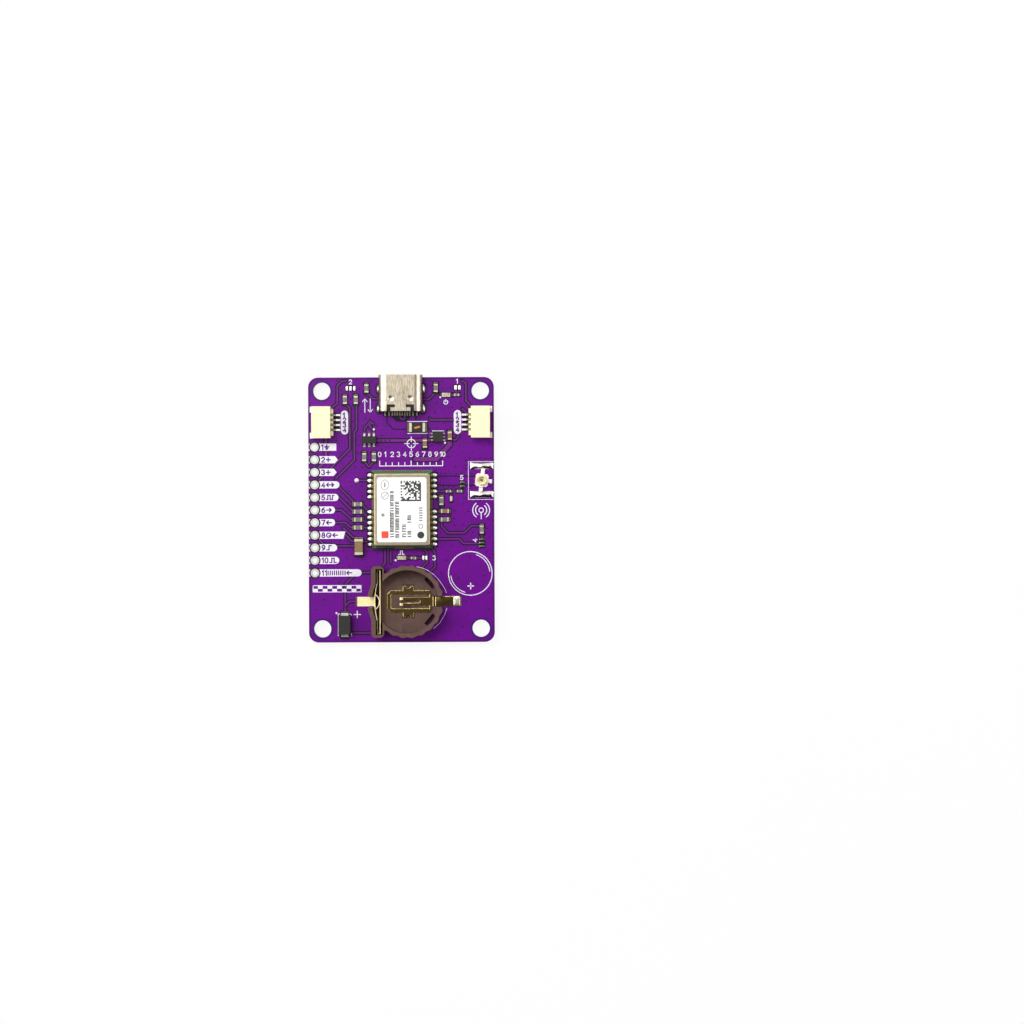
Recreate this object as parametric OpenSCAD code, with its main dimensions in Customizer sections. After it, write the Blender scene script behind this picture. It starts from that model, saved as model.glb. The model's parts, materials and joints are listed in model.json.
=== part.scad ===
// Satellite receiver breakout board.
// A purple circuit board carries a shielded receiver module, an aerial socket, a coin cell holder,
// a data and power port, two four-way sockets, a row of plated pin holes and small chip parts.
// Lengths are millimetres. The origin is the centre of the four mounting holes on the underside,
// +X runs to the aerial socket, +Y to the port and +Z up through the board.

/* [Circuit board] */
// Distance between the mounting holes along X
hole_pitch_x = 32; // [31.5:0.5:60]
// Distance between the mounting holes along Y
hole_pitch_y = 48; // [47.5:0.5:80]
// Centre of a mounting hole to the board's edges
hole_margin = 2.75; // [2.6:0.05:6]
// Bore of a mounting hole
mount_hole_d = 3.5; // [2.2:0.1:3.6]
// Thickness of the board
board_t = 1.6; // [1.2:0.1:2.4]
// Radius of the board's corners
corner_r = 2; // [0.5:0.1:3]
// Thickness of the tinned copper pads
pad_t = 0.05; // [0.03:0.01:0.1]

/* [Pin row] */
// Number of plated holes down the left edge
pin_count = 11; // [2:1:11]
// Distance between plated holes
pin_pitch = 2.54; // [2:0.01:2.6]
// Left edge of the board to the row of holes
pin_inset = 1.25; // [1:0.05:3]
// Centre of the top plated hole to the left socket's housing
pin_socket_gap = 1.75; // [1.7:0.05:2.5]
// Bore of a plated hole
pin_hole_d = 1; // [0.7:0.05:1.2]
// Outside of the plated barrel
pin_barrel_d = 1.3; // [1.25:0.05:1.5]
// Diameter of the pad round a plated hole
pin_pad_d = 1.75; // [1.6:0.05:1.9]

/* [Port] */
// Width of the port shell
port_w = 8.94; // [8.6:0.02:10]
// Height of the port shell
port_h = 3.26; // [3:0.02:4]
// Length of the port shell
port_l = 7.3; // [6.6:0.1:7.5]
// How far the port's mouth stands past the board's edge
port_overhang = 0.4; // [0.1:0.1:1.5]
// Wall of the port shell
port_wall = 0.3; // [0.2:0.02:0.4]
// Width of a shell leg along the port
port_leg_w = 1.1; // [0.8:0.1:1.2]
// How far a shell leg reaches into the board
port_leg_depth = 1; // [0.6:0.1:1.1]
// Mouth of the port to the centre of the front legs
port_front_leg = 2.75; // [2:0.05:3.5]
// Width of the slots in the board for the shell legs
port_slot_w = 0.65; // [0.45:0.05:0.7]
// Spare length of a leg slot at each end
port_slot_spare = 0.2; // [0.1:0.05:0.4]
// Width of the solder land round a leg slot
port_land = 0.26; // [0.15:0.01:0.35]
// Height of the solder round a leg
port_solder_h = 0.3; // [0.1:0.05:0.5]
// Width of the tongue inside the port
tongue_w = 6.7; // [6.6:0.1:7]
// Thickness of the tongue
tongue_t = 0.7; // [0.6:0.05:0.9]
// Mouth of the port to the tip of the tongue
tongue_setback = 1; // [0.5:0.1:2]
// Length of the moulded block behind the tongue
port_block_l = 1.8; // [1.4:0.1:2.5]
// Width of a port contact
port_contact_w = 0.3; // [0.2:0.02:0.34]
// Thickness of a port contact
port_contact_t = 0.12; // [0.08:0.01:0.2]
// How far the contact tails show behind the shell
port_tail = 0.85; // [0.4:0.05:1]
// Diameter of the dimples pressed in the roof
port_dimple_d = 1.2; // [0.6:0.1:1.6]
// Depth of the dimples
port_dimple_depth = 0.16; // [0.05:0.01:0.18]

/* [Side sockets] */
// Number of contacts in a socket
socket_ways = 4; // [2:1:4]
// Distance between socket contacts
socket_pitch = 1; // [0.8:0.05:1.1]
// Width of the housing along the board's edge
socket_w = 6.4; // [6:0.1:7]
// Depth of the housing from mouth to back
socket_depth = 3.8; // [3.6:0.1:4]
// Height of the housing
socket_h = 2.9; // [2.6:0.1:3.5]
// Board's edge to the mouth of the housing
socket_setback = 0.8; // [0.5:0.1:1]
// Centre of the sockets from the board's centre
socket_y = 17.65; // [17.6:0.05:18]
// Wall of the housing
socket_wall = 0.5; // [0.35:0.05:0.6]
// Depth of the cavity behind the mouth
socket_cavity = 3; // [2:0.1:3.2]
// Depth of the low comb behind the housing
comb_depth = 0.5; // [0.3:0.05:0.6]
// Height of the comb
comb_h = 1.7; // [1.6:0.1:2]
// Gap in the comb for each contact
comb_gap = 0.5; // [0.45:0.05:0.6]
// Width of a socket contact
socket_contact_w = 0.36; // [0.2:0.02:0.4]
// Thickness of a socket contact
socket_contact_t = 0.22; // [0.15:0.01:0.3]
// How far the contact tails reach behind the comb
socket_tail = 1.15; // [1:0.05:1.3]
// Width of a fixing tab
tab_w = 1.15; // [0.8:0.05:1.3]
// Length of a fixing tab
tab_l = 1.65; // [1.4:0.05:2]
// Thickness of a fixing tab
tab_t = 0.2; // [0.15:0.01:0.25]
// How far a fixing tab shows in front of the mouth
tab_reach = 0.45; // [0.2:0.05:0.7]

/* [Receiver module] */
// Width of the module's board
receiver_w = 12.2; // [12:0.1:12.6]
// Length of the module's board
receiver_l = 16; // [15.8:0.1:17]
// Thickness of the module's board
receiver_board_t = 0.8; // [0.5:0.05:1]
// Pitch of the half holes along the module's edges
half_hole_pitch = 1.1; // [1:0.05:1.12]
// Diameter of the half holes
half_hole_d = 0.6; // [0.4:0.05:0.7]
// Width of the shield can
shield_w = 11.4; // [10.6:0.1:11.5]
// Length of the shield can
shield_l = 14.9; // [13.6:0.1:15.2]
// Height of the shield can
shield_h = 1.6; // [1.3:0.05:3]
// Wall of the shield can
shield_wall = 0.2; // [0.1:0.01:0.3]
// Corner radius of the shield can
shield_corner_r = 0.6; // [0.5:0.05:1]
// Radius of the drawn edge round the can's roof
shield_edge_r = 0.4; // [0.2:0.05:0.45]
// Width of the label
label_w = 10; // [8:0.1:10.4]
// Length of the label
label_l = 13.05; // [10:0.05:13.9]
// Thickness of the label
label_t = 0.08; // [0.05:0.01:0.15]
// Corner radius of the label
label_r = 0.5; // [0.2:0.05:1]

/* [Aerial socket] */
// Board's right edge to the socket's axis
aerial_inset = 2.5; // [2.3:0.05:3]
// Socket's axis from the board's centre
aerial_y = 5.9; // [5.6:0.05:6.2]
// Turn of the socket as it was soldered
aerial_turn = -7; // [-10:1:10]
// Side of the square base
aerial_base = 2.6; // [2.3:0.05:2.8]
// Height of the base
aerial_base_h = 0.4; // [0.3:0.05:0.6]
// Outside of the snap ring
aerial_ring_d = 2; // [1.9:0.05:2.1]
// Wall of the snap ring
aerial_ring_wall = 0.26; // [0.15:0.01:0.3]
// Height of the snap ring above the board
aerial_h = 1.25; // [1.1:0.05:1.6]
// Diameter of the centre pin
aerial_pin_d = 0.5; // [0.3:0.05:0.6]
// Width of a leg
aerial_leg_w = 0.75; // [0.5:0.05:0.9]
// How far a ground leg reaches past the base
aerial_leg = 1.1; // [0.9:0.05:1.2]
// Sheet of the ring and legs
aerial_sheet = 0.12; // [0.08:0.01:0.15]
// Length of the tinned ground lands
land_l = 4.7; // [4:0.1:4.8]
// Width of the tinned ground lands
land_w = 1.35; // [1:0.05:1.5]
// Distance between the middles of the ground lands
land_pitch = 5.75; // [5.5:0.05:6]

/* [Coin holder] */
// Diameter of the coin cell
coin_d = 12.5; // [12.3:0.1:12.6]
// Clearance round the coin cell
coin_clear = 0.1; // [0.05:0.01:0.2]
// Wall round the well
holder_wall = 0.95; // [0.6:0.05:1.1]
// Number of lobes round the holder's wall
holder_lobes = 22; // [16:1:24]
// How far the lobes stand out of the wall
lobe_rise = 0.2; // [0.1:0.02:0.3]
// Height of the holder
holder_h = 3.9; // [3.4:0.1:5]
// Thickness of the holder's floor
holder_floor = 0.8; // [0.6:0.05:1]
// Centre of the well from the board's centre along X
holder_x = 1.2; // [1.1:0.05:1.3]
// Board's front edge to the centre of the well
holder_edge = 8.25; // [8.1:0.05:8.4]
// Well centre to the outer face of the spring block
block_reach = 7.2; // [7.1:0.05:7.4]
// Width of the spring block
block_w = 2.55; // [2.4:0.05:2.7]
// Length of the spring block
block_l = 14.4; // [14.2:0.1:15]
// Wall of the spring block
block_wall = 0.9; // [0.6:0.05:0.95]
// Sheet of the side contact
spring_t = 0.15; // [0.1:0.01:0.2]
// Height of the side contact's blade
spring_h = 2.4; // [1.8:0.1:2.6]
// Width of the side contact's tab
spring_tab_w = 1.9; // [1.4:0.1:2]
// How far the side contact's tab reaches past the block
spring_tab = 2.3; // [1.5:0.1:2.6]
// Sheet of the base contact
plate_t = 0.2; // [0.15:0.01:0.3]
// Length of the base contact's frame
plate_l = 9.3; // [9:0.1:9.5]
// Width of the base contact's frame
plate_w = 4.5; // [4.2:0.1:4.7]
// Width of a sprung finger
finger_w = 0.6; // [0.4:0.05:0.7]
// Rise of the sprung fingers at their tips
finger_rise = 0.9; // [0.4:0.1:1.2]
// Width of the base contact's tab
plate_tab_w = 2.1; // [1.6:0.1:2.2]
// How far the base contact's tab reaches past the well's wall
plate_tab = 3.3; // [2:0.1:3.5]

/* [Moulded packages] */
// Length of the surge protector's body
surge_l = 2.95; // [2.7:0.05:3.1]
// Width of the surge protector's body
surge_w = 1.5; // [1.3:0.05:1.6]
// Height of the surge protector's body
surge_h = 1.1; // [0.8:0.05:1.3]
// Length of the regulator's body
regulator_l = 2.2; // [2:0.05:2.3]
// Width of the regulator's body
regulator_w = 2.1; // [1.9:0.05:2.2]
// Height of the regulator's body
regulator_h = 0.9; // [0.7:0.05:1.1]
// Length of the diode's body
diode_l = 3.8; // [3.5:0.1:4.2]
// Width of the diode's body
diode_w = 2.5; // [2.3:0.1:2.8]
// Height of the diode's body
diode_h = 2; // [1.6:0.1:2.3]
// Draft of the moulded bodies on each side
draft = 0.08; // [0.02:0.01:0.15]
// Clearance under the moulded bodies
standoff = 0.05; // [0.02:0.01:0.15]

/* [Chip parts] */
// Length of a large chip
chip_l = 1.6; // [1.5:0.05:1.7]
// Width of a large chip
chip_w = 0.82; // [0.7:0.02:0.9]
// Height of a chip resistor
resistor_h = 0.45; // [0.4:0.05:0.6]
// Height of a small capacitor
capacitor_h = 0.8; // [0.5:0.05:0.9]
// Height of a chip light
led_h = 0.6; // [0.5:0.05:0.9]
// Length of a small chip
small_l = 1; // [0.9:0.05:1.1]
// Width of a small chip
small_w = 0.5; // [0.45:0.05:0.6]
// Height of a small chip
small_h = 0.36; // [0.3:0.02:0.5]
// Length of the bulk capacitor and the fuse
long_chip_l = 3.2; // [3:0.05:3.3]
// Width of the bulk capacitor
bulk_w = 1.65; // [1.5:0.05:1.8]
// Height of the bulk capacitor
bulk_h = 1.5; // [1:0.1:1.8]
// Width of the fuse
fuse_w = 1.8; // [1.6:0.05:1.9]
// Height of the fuse
fuse_h = 0.85; // [0.5:0.05:1.1]
// How far the metal ends stand proud of a chip's body
cap_lip = 0.02; // [0.01:0.01:0.04]
// Reach of a large chip's solder fillet
solder_reach = 0.36; // [0.2:0.02:0.38]
// Reach of a small chip's solder fillet
small_solder_reach = 0.24; // [0.15:0.01:0.28]

/* [Hidden] */
$fn = 64;
// How far a cut runs past the faces it passes through
cut = 0.5;

board_w = hole_pitch_x + 2 * hole_margin;
board_l = hole_pitch_y + 2 * hole_margin;
pin_x = -board_w / 2 + pin_inset;
pin_top = socket_y - socket_w / 2 - pin_socket_gap;

// Places on the board, as [x, y, turn] from its centre
surge_place = [-6.45, 14.1, 0];
regulator_place = [7.42, 14.7, 90];
fuse_place = [3.28, 16.6, 0];
diode_place = [-11.5, -23.2, 90];
bulk_place = [-8.6, -7.45, 90];
inductor_place = [10.05, 2.2, 90];
power_led_place = [9.1, 23.15, 0];
signal_led_place = [0, -9.7, 0];
capacitor_places = [[9.85, 14.9, 90], [4.8, 13.3, 90], [8.8, -0.3, 0]];
resistor_places = concat(
  [for (p = [[-11.3, 22.2], [-9.1, 22.2], [-6.95, 24.5], [7.05, 24.55], [-7.45, 10.65], [-5.5, 10.65],
             [8.1, 1.75], [16.2, -4.05]]) [p.x, p.y, 90]],
  [for (y = [1.15, -0.35, -1.95, -3.55]) [-8.75, y, 0]],
  [[8.75, -2, 0]]
);
small_resistor_places = [[11.25, 23.15, 0], [9.55, 3.7, 0], [11.75, 3.7, 0], [2.4, -9.75, 0]];

// Bare pads, as [x, y, width, length], as large as the pads of a small chip
jumper_w = small_w;
jumper_l = small_l;
jumper_pads = concat(
  [for (i = [-1:1]) [-10.15 + 1.5 * jumper_w * i, 24.5, jumper_w, jumper_l]],
  [for (s = [-1, 1]) [11.42 + 0.75 * jumper_w * s, 24.6, 1.1 * jumper_w, jumper_l]],
  [for (s = [-1, 1]) [4.7 + 0.6 * jumper_w * s, -9.75, 0.84 * jumper_w, 0.95 * jumper_l]],
  [for (i = [-1:1]) [16.2, -6.8 + 1.4 * jumper_w * i, 1.2 * jumper_l, 0.96 * jumper_w]],
  [for (s = [-1, 1]) [12.3, 5.05 + 0.8 * jumper_w * s, jumper_l, jumper_w]]
);
test_pad = [-9, 5.95];
test_pad_d = 0.9 * jumper_l;

// Port
port_front = board_l / 2 + port_overhang;
port_back = port_front - port_l;
port_mid = board_t + port_h / 2;
port_leg_x = (port_w - port_wall) / 2;
port_inner_w = port_w - 2 * port_wall;
port_inner_h = port_h - 2 * port_wall;
port_fit = 0.02;
port_leg_ys = [port_front - port_front_leg, port_back + port_leg_w / 2];
// Contacts of the middle row are a pitch apart, and the wider pairs follow on each side
port_contact_pitch = tongue_w / 13.4;
port_contact_xs = [for (s = [-1, 1], k = [0.5, 1.5, 2.5, 3.5, 4.8, 6.4]) s * k * port_contact_pitch];
// Half widths and depths of the hooked cuts at the back of the roof
hook_outer = 2.75;
hook_inner = 2;
hook_tip = 1.1;
hook_depth = 1.3;
hook_bar = 0.58;
port_dimple_x = 1.95;
port_dimple_y = 2.5;
// Ball whose cap has the dimples' diameter and depth
port_dimple_ball = (pow(port_dimple_d / 2, 2) + pow(port_dimple_depth, 2)) / (2 * port_dimple_depth);
// The floor of the shell stays open over the contact tails
port_floor_gap = 1.5;
port_floor_open = 1.5 * port_wall;

// Sockets
socket_cavity_w = socket_w - 4 * socket_wall + 0.6;
socket_key = 0.35;
contact_z = 1.2;
contact_tip = 0.9;
socket_contact_ys = [for (i = [0:socket_ways - 1]) (i - (socket_ways - 1) / 2) * socket_pitch];
socket_toe = socket_depth + comb_depth + socket_tail;

// Receiver
receiver_x = 0.17;
half_hole_rows = [7, 5];
half_hole_gap = 3;
half_hole_y0 = -((half_hole_rows[0] + half_hole_rows[1] - 2) * half_hole_pitch + half_hole_gap) / 2;
half_hole_ys = concat(
  [for (i = [0:half_hole_rows[0] - 1]) half_hole_y0 + i * half_hole_pitch],
  [for (i = [0:half_hole_rows[1] - 1])
     half_hole_y0 + (half_hole_rows[0] - 1 + i) * half_hole_pitch + half_hole_gap]
);
receiver_z = board_t + receiver_board_t;
edge_solder = 0.85;
edge_solder_w = 0.74;
edge_solder_h = 0.3;
// Chips inside the can, as [x, y, length, width, height]
receiver_chip_size = [0.6, 1.2, 5, 5, 0.8];
oscillator_size = [-3.2, -4.2, 2, 1.6, 0.7];
filter_size = [3, -4.4, 1.4, 1.1, 0.6];

// Coin holder
well_r = coin_d / 2 + coin_clear;
holder_r = well_r + holder_wall;
block_r = 0.9;
lobe_r = 1.2;
belly_out = 0.7;
belly_in = 3.6;
belly_flat = 1.4;
slot_end = block_l / 2 - 0.6;
slot_left = block_reach - block_wall;
slot_w = 1.35;
tab_gap = 0.25;
window_turn = 39.5;
window_l = 2.6;
window_w = 0.9;
blade_x = -(slot_left - 0.85);
leaf_x = -(slot_left - 0.25);
leaf_sag = 0.45;
leaf_l = 7.4;
bow_l = 3;
// The inner bow starts on the leaf, where it has most of its sag, and stops short of the blade
bow_x = leaf_x - 0.8 * leaf_sag;
bow_sag = blade_x - spring_t - bow_x;
fold_h = 1.3;
plate_x = 0.5;
plate_chamfer = 0.75;
rail_w = 0.85;
window_right = 3.9;
finger_root = 1.9;
finger_gap = 0.55;
finger_tip_x = -1.8;
finger_tip_r = 0.28;
ear_x = 0.15;
ear_w = 2.2;
ear_l = 0.95;
ear_notch_r = 0.5;
ear_pocket = 0.1;
ramp_l = 0.45;

// Leads of the moulded packages
surge_lead_t = 0.13;
surge_lead_w = 0.42;
surge_lead_run = 0.65;
surge_lead_pitch = 0.95;
regulator_lead_t = 0.13;
regulator_lead_w = 0.32;
regulator_lead_run = 0.36;
regulator_lead_pitch = 0.67;
diode_lead_t = 0.2;
diode_lead_w = 1.5;
diode_lead_run = 0.5;

// Metal ends of the chips
chip_end = 0.3;
small_end = 0.22;
long_chip_end = 0.5;
led_base_h = 0.25;

// Shared shapes

// Flat rectangle with round corners, about the origin
module round_rect(size, r) {
  square([size.x - 2 * r, size.y], center = true);
  square([size.x, size.y - 2 * r], center = true);
  for (sx = [-1, 1], sy = [-1, 1])
    translate([sx * (size.x / 2 - r), sy * (size.y / 2 - r)]) circle(r);
}

// Flat oval with round ends along X, about the origin
module flat_oval(w, h) {
  square([w - h, h], center = true);
  for (s = [-1, 1]) translate([s * (w - h) / 2, 0]) circle(d = h);
}

// Extrudes an XZ outline from y0 to y1
module along_y(y0, y1)
  translate([0, y1, 0]) rotate([90, 0, 0]) linear_extrude(y1 - y0) children();

// Box between two corners
module box(low, high)
  translate(low) cube(high - low);

// Puts a part on the board at [x, y, turn]
module place(p)
  translate([p.x, p.y, board_t]) rotate(p.z) children();

// Chip along X with a metal cap on each end
module chip(l, w, h, end) {
  box([-l / 2 + end, -w / 2 + cap_lip, cap_lip], [l / 2 - end, w / 2 - cap_lip, h - cap_lip]);
  for (s = [-1, 1])
    translate([s * (l - end) / 2, 0, h / 2]) cube([end, w, h], center = true);
}

// Concave solder that climbs from its pad to a wall at X = 0
module fillet(width, reach)
  rotate([90, 0, 0]) translate([0, 0, -width / 2]) linear_extrude(width) difference() {
    square(reach);
    translate([reach + pad_t, reach + pad_t]) circle(reach);
  }

// Solder at both ends of a part that lies along X
module end_fillets(l, width, reach)
  for (s = [0, 1]) mirror([s, 0, 0]) translate([l / 2, 0, 0]) fillet(width, reach);

// Side view of a moulded body: drafted halves that meet in a narrow upright band
module drafted_outline(w, h, band)
  polygon([[-w / 2 + draft, 0], [w / 2 - draft, 0], [w / 2, (h - band) / 2], [w / 2, (h + band) / 2],
           [w / 2 - draft, h], [-w / 2 + draft, h], [-w / 2, (h + band) / 2], [-w / 2, (h - band) / 2]]);

// Moulded body, drafted on four sides, with room for a lead of the band's thickness
module moulded_body(l, w, h, band)
  translate([0, 0, standoff]) intersection() {
    rotate([90, 0, 0]) linear_extrude(w, center = true) drafted_outline(l, h, band);
    rotate([90, 0, 90]) linear_extrude(l, center = true) drafted_outline(w, h, band);
  }

// Bent lead that leaves a body at X = 0, steps down and ends in a flat foot
module gull_lead(top, run, foot, t, w) {
  knee = (run - foot) * 0.45;
  rotate([90, 0, 0]) linear_extrude(w, center = true)
    polygon([[0, top], [knee, top], [run - foot, t], [run, t], [run, 0], [run - foot - t / 2, 0],
             [knee - t / 2, top - t], [0, top - t]]);
}

// Arc of upright strip with its ends on X = 0, bowed towards -X
module bowed_strip(chord, sag, t, h) {
  r = (chord * chord / 4 + sag * sag) / (2 * sag);
  linear_extrude(h) intersection() {
    translate([r - sag, 0]) difference() {
      circle(r + t / 2);
      circle(r - t / 2);
    }
    translate([-sag - t, -chord / 2]) square([sag + 2 * t, chord]);
  }
}

// Circuit board

module at_mount_holes()
  for (sx = [-1, 1], sy = [-1, 1]) translate([sx * hole_pitch_x / 2, sy * hole_pitch_y / 2]) children();

module at_pins()
  for (i = [0:pin_count - 1]) translate([pin_x, pin_top - i * pin_pitch]) children();

module at_port_legs()
  for (s = [-1, 1], y = port_leg_ys) translate([s * port_leg_x, y]) children();

// Opening for a shell leg, grown all round by spare
module leg_slot(spare)
  rotate(90) flat_oval(port_leg_w + 2 * (port_slot_spare + spare), port_slot_w + 2 * spare);

module circuit_board() color("#6a1b86") difference() {
  linear_extrude(board_t) difference() {
    round_rect([board_w, board_l], corner_r);
    at_mount_holes() circle(d = mount_hole_d);
    at_pins() circle(d = pin_barrel_d);
    at_port_legs() leg_slot(0);
  }
  at_pins() translate([0, 0, -cut]) cylinder(d = pin_pad_d, h = cut + pad_t);
}

module header_pads() color("#cfccc4") at_pins() difference() {
  union() {
    cylinder(d = pin_barrel_d, h = board_t);
    cylinder(d = pin_pad_d, h = pad_t);
    translate([0, 0, board_t]) cylinder(d = pin_pad_d, h = pad_t);
  }
  translate([0, 0, -cut]) cylinder(d = pin_hole_d, h = board_t + 2 * cut);
}

module jumper_pads() color("#c9c6bd") translate([0, 0, board_t]) {
  for (p = jumper_pads) translate([p[0] - p[2] / 2, p[1] - p[3] / 2]) cube([p[2], p[3], pad_t]);
  translate(test_pad) cylinder(d = test_pad_d, h = pad_t);
}

// Port

module port_leg(spare = 0)
  translate([-port_wall / 2 - spare, -port_leg_w / 2 - spare, board_t - port_leg_depth])
    cube([port_wall + 2 * spare, port_leg_w + 2 * spare, port_leg_depth + port_h / 2]);

// Hooked cut on the right of the roof, measured from the back of the shell
module roof_hook() {
  translate([hook_inner, -cut]) square([hook_outer - hook_inner, hook_depth + cut]);
  translate([hook_tip, hook_depth - hook_bar]) square([hook_outer - hook_tip, hook_bar]);
}

module port_shell() color("#cdc6b8") difference() {
  union() {
    along_y(port_back, port_front) translate([0, port_mid]) difference() {
      flat_oval(port_w, port_h);
      flat_oval(port_inner_w, port_inner_h);
    }
    at_port_legs() port_leg();
  }
  translate([0, port_back, port_mid]) linear_extrude(port_h)
    for (s = [0, 1]) mirror([s, 0]) roof_hook();
  box([-tongue_w / 2, port_back - cut, board_t - cut],
      [tongue_w / 2, port_back + port_floor_gap, board_t + port_floor_open]);
  for (s = [-1, 1])
    translate([s * port_dimple_x, port_back + port_dimple_y,
               board_t + port_h - port_dimple_depth + port_dimple_ball])
      sphere(r = port_dimple_ball);
}

// One contact: tail on the board, riser and a strip on each face of the tongue
module port_contact() {
  low = port_mid - tongue_t / 2;
  high = port_mid + tongue_t / 2;
  riser = port_back + port_floor_gap / 2;
  tip = port_front - tongue_setback - tongue_t;
  half = port_contact_w / 2;
  box([-half, port_back - port_tail, board_t], [half, riser, board_t + port_contact_t]);
  box([-half, riser - port_contact_t, board_t], [half, riser, high]);
  for (z = [low, high - port_contact_t])
    box([-half, riser - port_contact_t, z], [half, tip, z + port_contact_t]);
}

module port_contacts() color("#c9b27a")
  for (x = port_contact_xs) translate([x, 0, 0]) port_contact();

module port_insulator() color("#1d1c1e") difference() {
  union() {
    along_y(port_back + port_fit, port_back + port_block_l) translate([0, port_mid])
      flat_oval(port_inner_w - 2 * port_fit, port_inner_h - 2 * port_fit);
    box([-tongue_w / 2, port_back + port_block_l / 2, port_mid - tongue_t / 2],
        [tongue_w / 2, port_front - tongue_setback, port_mid + tongue_t / 2]);
    box([-tongue_w / 2 + port_fit, port_back + port_fit, board_t],
        [tongue_w / 2 - port_fit, port_back + port_floor_gap - port_fit, port_mid]);
  }
  for (x = port_contact_xs) translate([x, 0, 0]) port_contact();
}

module port_solder() color("#d6d4ce") difference() {
  at_port_legs() {
    translate([0, 0, board_t]) linear_extrude(port_solder_h) leg_slot(port_land);
    translate([0, 0, board_t - port_leg_depth]) linear_extrude(port_leg_depth) leg_slot(0);
  }
  at_port_legs() port_leg();
  along_y(port_back, port_front) translate([0, port_mid]) flat_oval(port_w, port_h);
  box([-tongue_w / 2, port_back - port_tail, board_t], [tongue_w / 2, port_back, board_t + port_h]);
}

// Side sockets, drawn with the mouth towards +X and X = 0 in the plane of the mouth

module at_socket(side)
  translate([side * (board_w / 2 - socket_setback), socket_y, board_t]) mirror([side < 0 ? 1 : 0, 0, 0])
    children();

module socket_contact() {
  t = socket_contact_t;
  out = socket_depth + comb_depth;
  foot = socket_toe - out - 0.55;
  rotate([90, 0, 0]) linear_extrude(socket_contact_w, center = true)
    polygon([[-contact_tip, contact_z], [-contact_tip, contact_z + t], [-out + 0.1, contact_z + t],
             [-socket_toe + foot, t], [-socket_toe, t], [-socket_toe, 0], [-socket_toe + foot + t / 2, 0],
             [-out + 0.1 + t / 2, contact_z]]);
}

module socket_contacts()
  for (y = socket_contact_ys) translate([0, y, 0]) socket_contact();

module socket_tabs()
  for (s = [0, 1]) mirror([0, s, 0]) {
    box([tab_reach - tab_l, socket_w / 2 - tab_w, 0], [tab_reach, socket_w / 2, tab_t]);
    box([tab_reach - tab_l, socket_w / 2 - tab_t, 0], [-tab_t, socket_w / 2, socket_h / 2]);
  }

module socket_housing() difference() {
  union() {
    box([-socket_depth, -socket_w / 2, 0], [0, socket_w / 2, socket_h]);
    box([-socket_depth - comb_depth, -socket_w / 2 + socket_wall, 0],
        [-socket_depth + comb_depth, socket_w / 2 - socket_wall, comb_h]);
  }
  box([-socket_cavity, -socket_cavity_w / 2, socket_wall],
      [cut, socket_cavity_w / 2, socket_h - socket_wall]);
  box([-socket_cavity, -socket_cavity_w / 2 - socket_key, socket_h / 2 + socket_key],
      [cut, socket_cavity_w / 2 + socket_key, socket_h - socket_wall - socket_key]);
  for (y = socket_contact_ys)
    translate([-socket_depth - comb_depth - cut, y - comb_gap / 2, -cut])
      cube([comb_depth + cut, comb_gap, comb_h + 2 * cut]);
  socket_contacts();
  socket_tabs();
}

module left_socket_housing() color("#fdf6d2") at_socket(-1) socket_housing();
module left_socket_contacts() color("#c8b48a") at_socket(-1) socket_contacts();
module left_socket_tabs() color("#d9d5cb") at_socket(-1) socket_tabs();
module right_socket_housing() color("#fdf6d2") at_socket(1) socket_housing();
module right_socket_contacts() color("#c8b48a") at_socket(1) socket_contacts();
module right_socket_tabs() color("#d9d5cb") at_socket(1) socket_tabs();

module socket_solder() color("#dbd9d3")
  for (side = [-1, 1], y = socket_contact_ys)
    at_socket(side) translate([-socket_toe, y, 0]) mirror([1, 0, 0])
      fillet(socket_contact_w, small_solder_reach);

// Receiver module

module at_receiver() translate([receiver_x, 0, 0]) children();

module at_half_holes() at_receiver()
  for (s = [0, 1], y = half_hole_ys)
    mirror([s, 0, 0]) translate([receiver_w / 2, y, board_t]) children();

module receiver_board() color("#2f7a58") difference() {
  at_receiver() translate([-receiver_w / 2, -receiver_l / 2, board_t])
    cube([receiver_w, receiver_l, receiver_board_t]);
  at_half_holes() translate([0, 0, -cut]) cylinder(d = half_hole_d, h = receiver_board_t + 2 * cut);
}

// Corner post of the can: round in plan, with a rounded shoulder
module shield_post() rotate_extrude($fn = 32) {
  square([shield_corner_r, shield_h - shield_edge_r]);
  square([shield_corner_r - shield_edge_r, shield_h]);
  intersection() {
    translate([shield_corner_r - shield_edge_r, shield_h - shield_edge_r]) circle(shield_edge_r, $fn = 32);
    square([shield_corner_r, shield_h]);
  }
}

module receiver_shield() color("#b9b0a2") at_receiver() translate([0, 0, receiver_z]) difference() {
  hull() for (sx = [-1, 1], sy = [-1, 1])
    translate([sx * (shield_w / 2 - shield_corner_r), sy * (shield_l / 2 - shield_corner_r), 0])
      shield_post();
  translate([0, 0, -cut]) linear_extrude(cut + shield_h - shield_wall)
    square([shield_w - 2 * shield_wall - shield_edge_r, shield_l - 2 * shield_wall - shield_edge_r],
           center = true);
}

module receiver_label() color("#f6f6f4") at_receiver() translate([0, 0, receiver_z + shield_h])
  linear_extrude(label_t) round_rect([label_w, label_l], label_r);

// Solder that fills each half hole and runs out on its pad
module receiver_solder() color("#dedcd6") at_half_holes() {
  cylinder(d = half_hole_d, h = receiver_board_t / 2);
  linear_extrude(edge_solder_h) intersection() {
    translate([edge_solder - edge_solder_w / 2, 0]) union() {
      circle(d = edge_solder_w);
      translate([-edge_solder, -half_hole_d / 2]) square([edge_solder, half_hole_d]);
    }
    translate([0, -edge_solder_w]) square([edge_solder, 2 * edge_solder_w]);
  }
}

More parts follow.
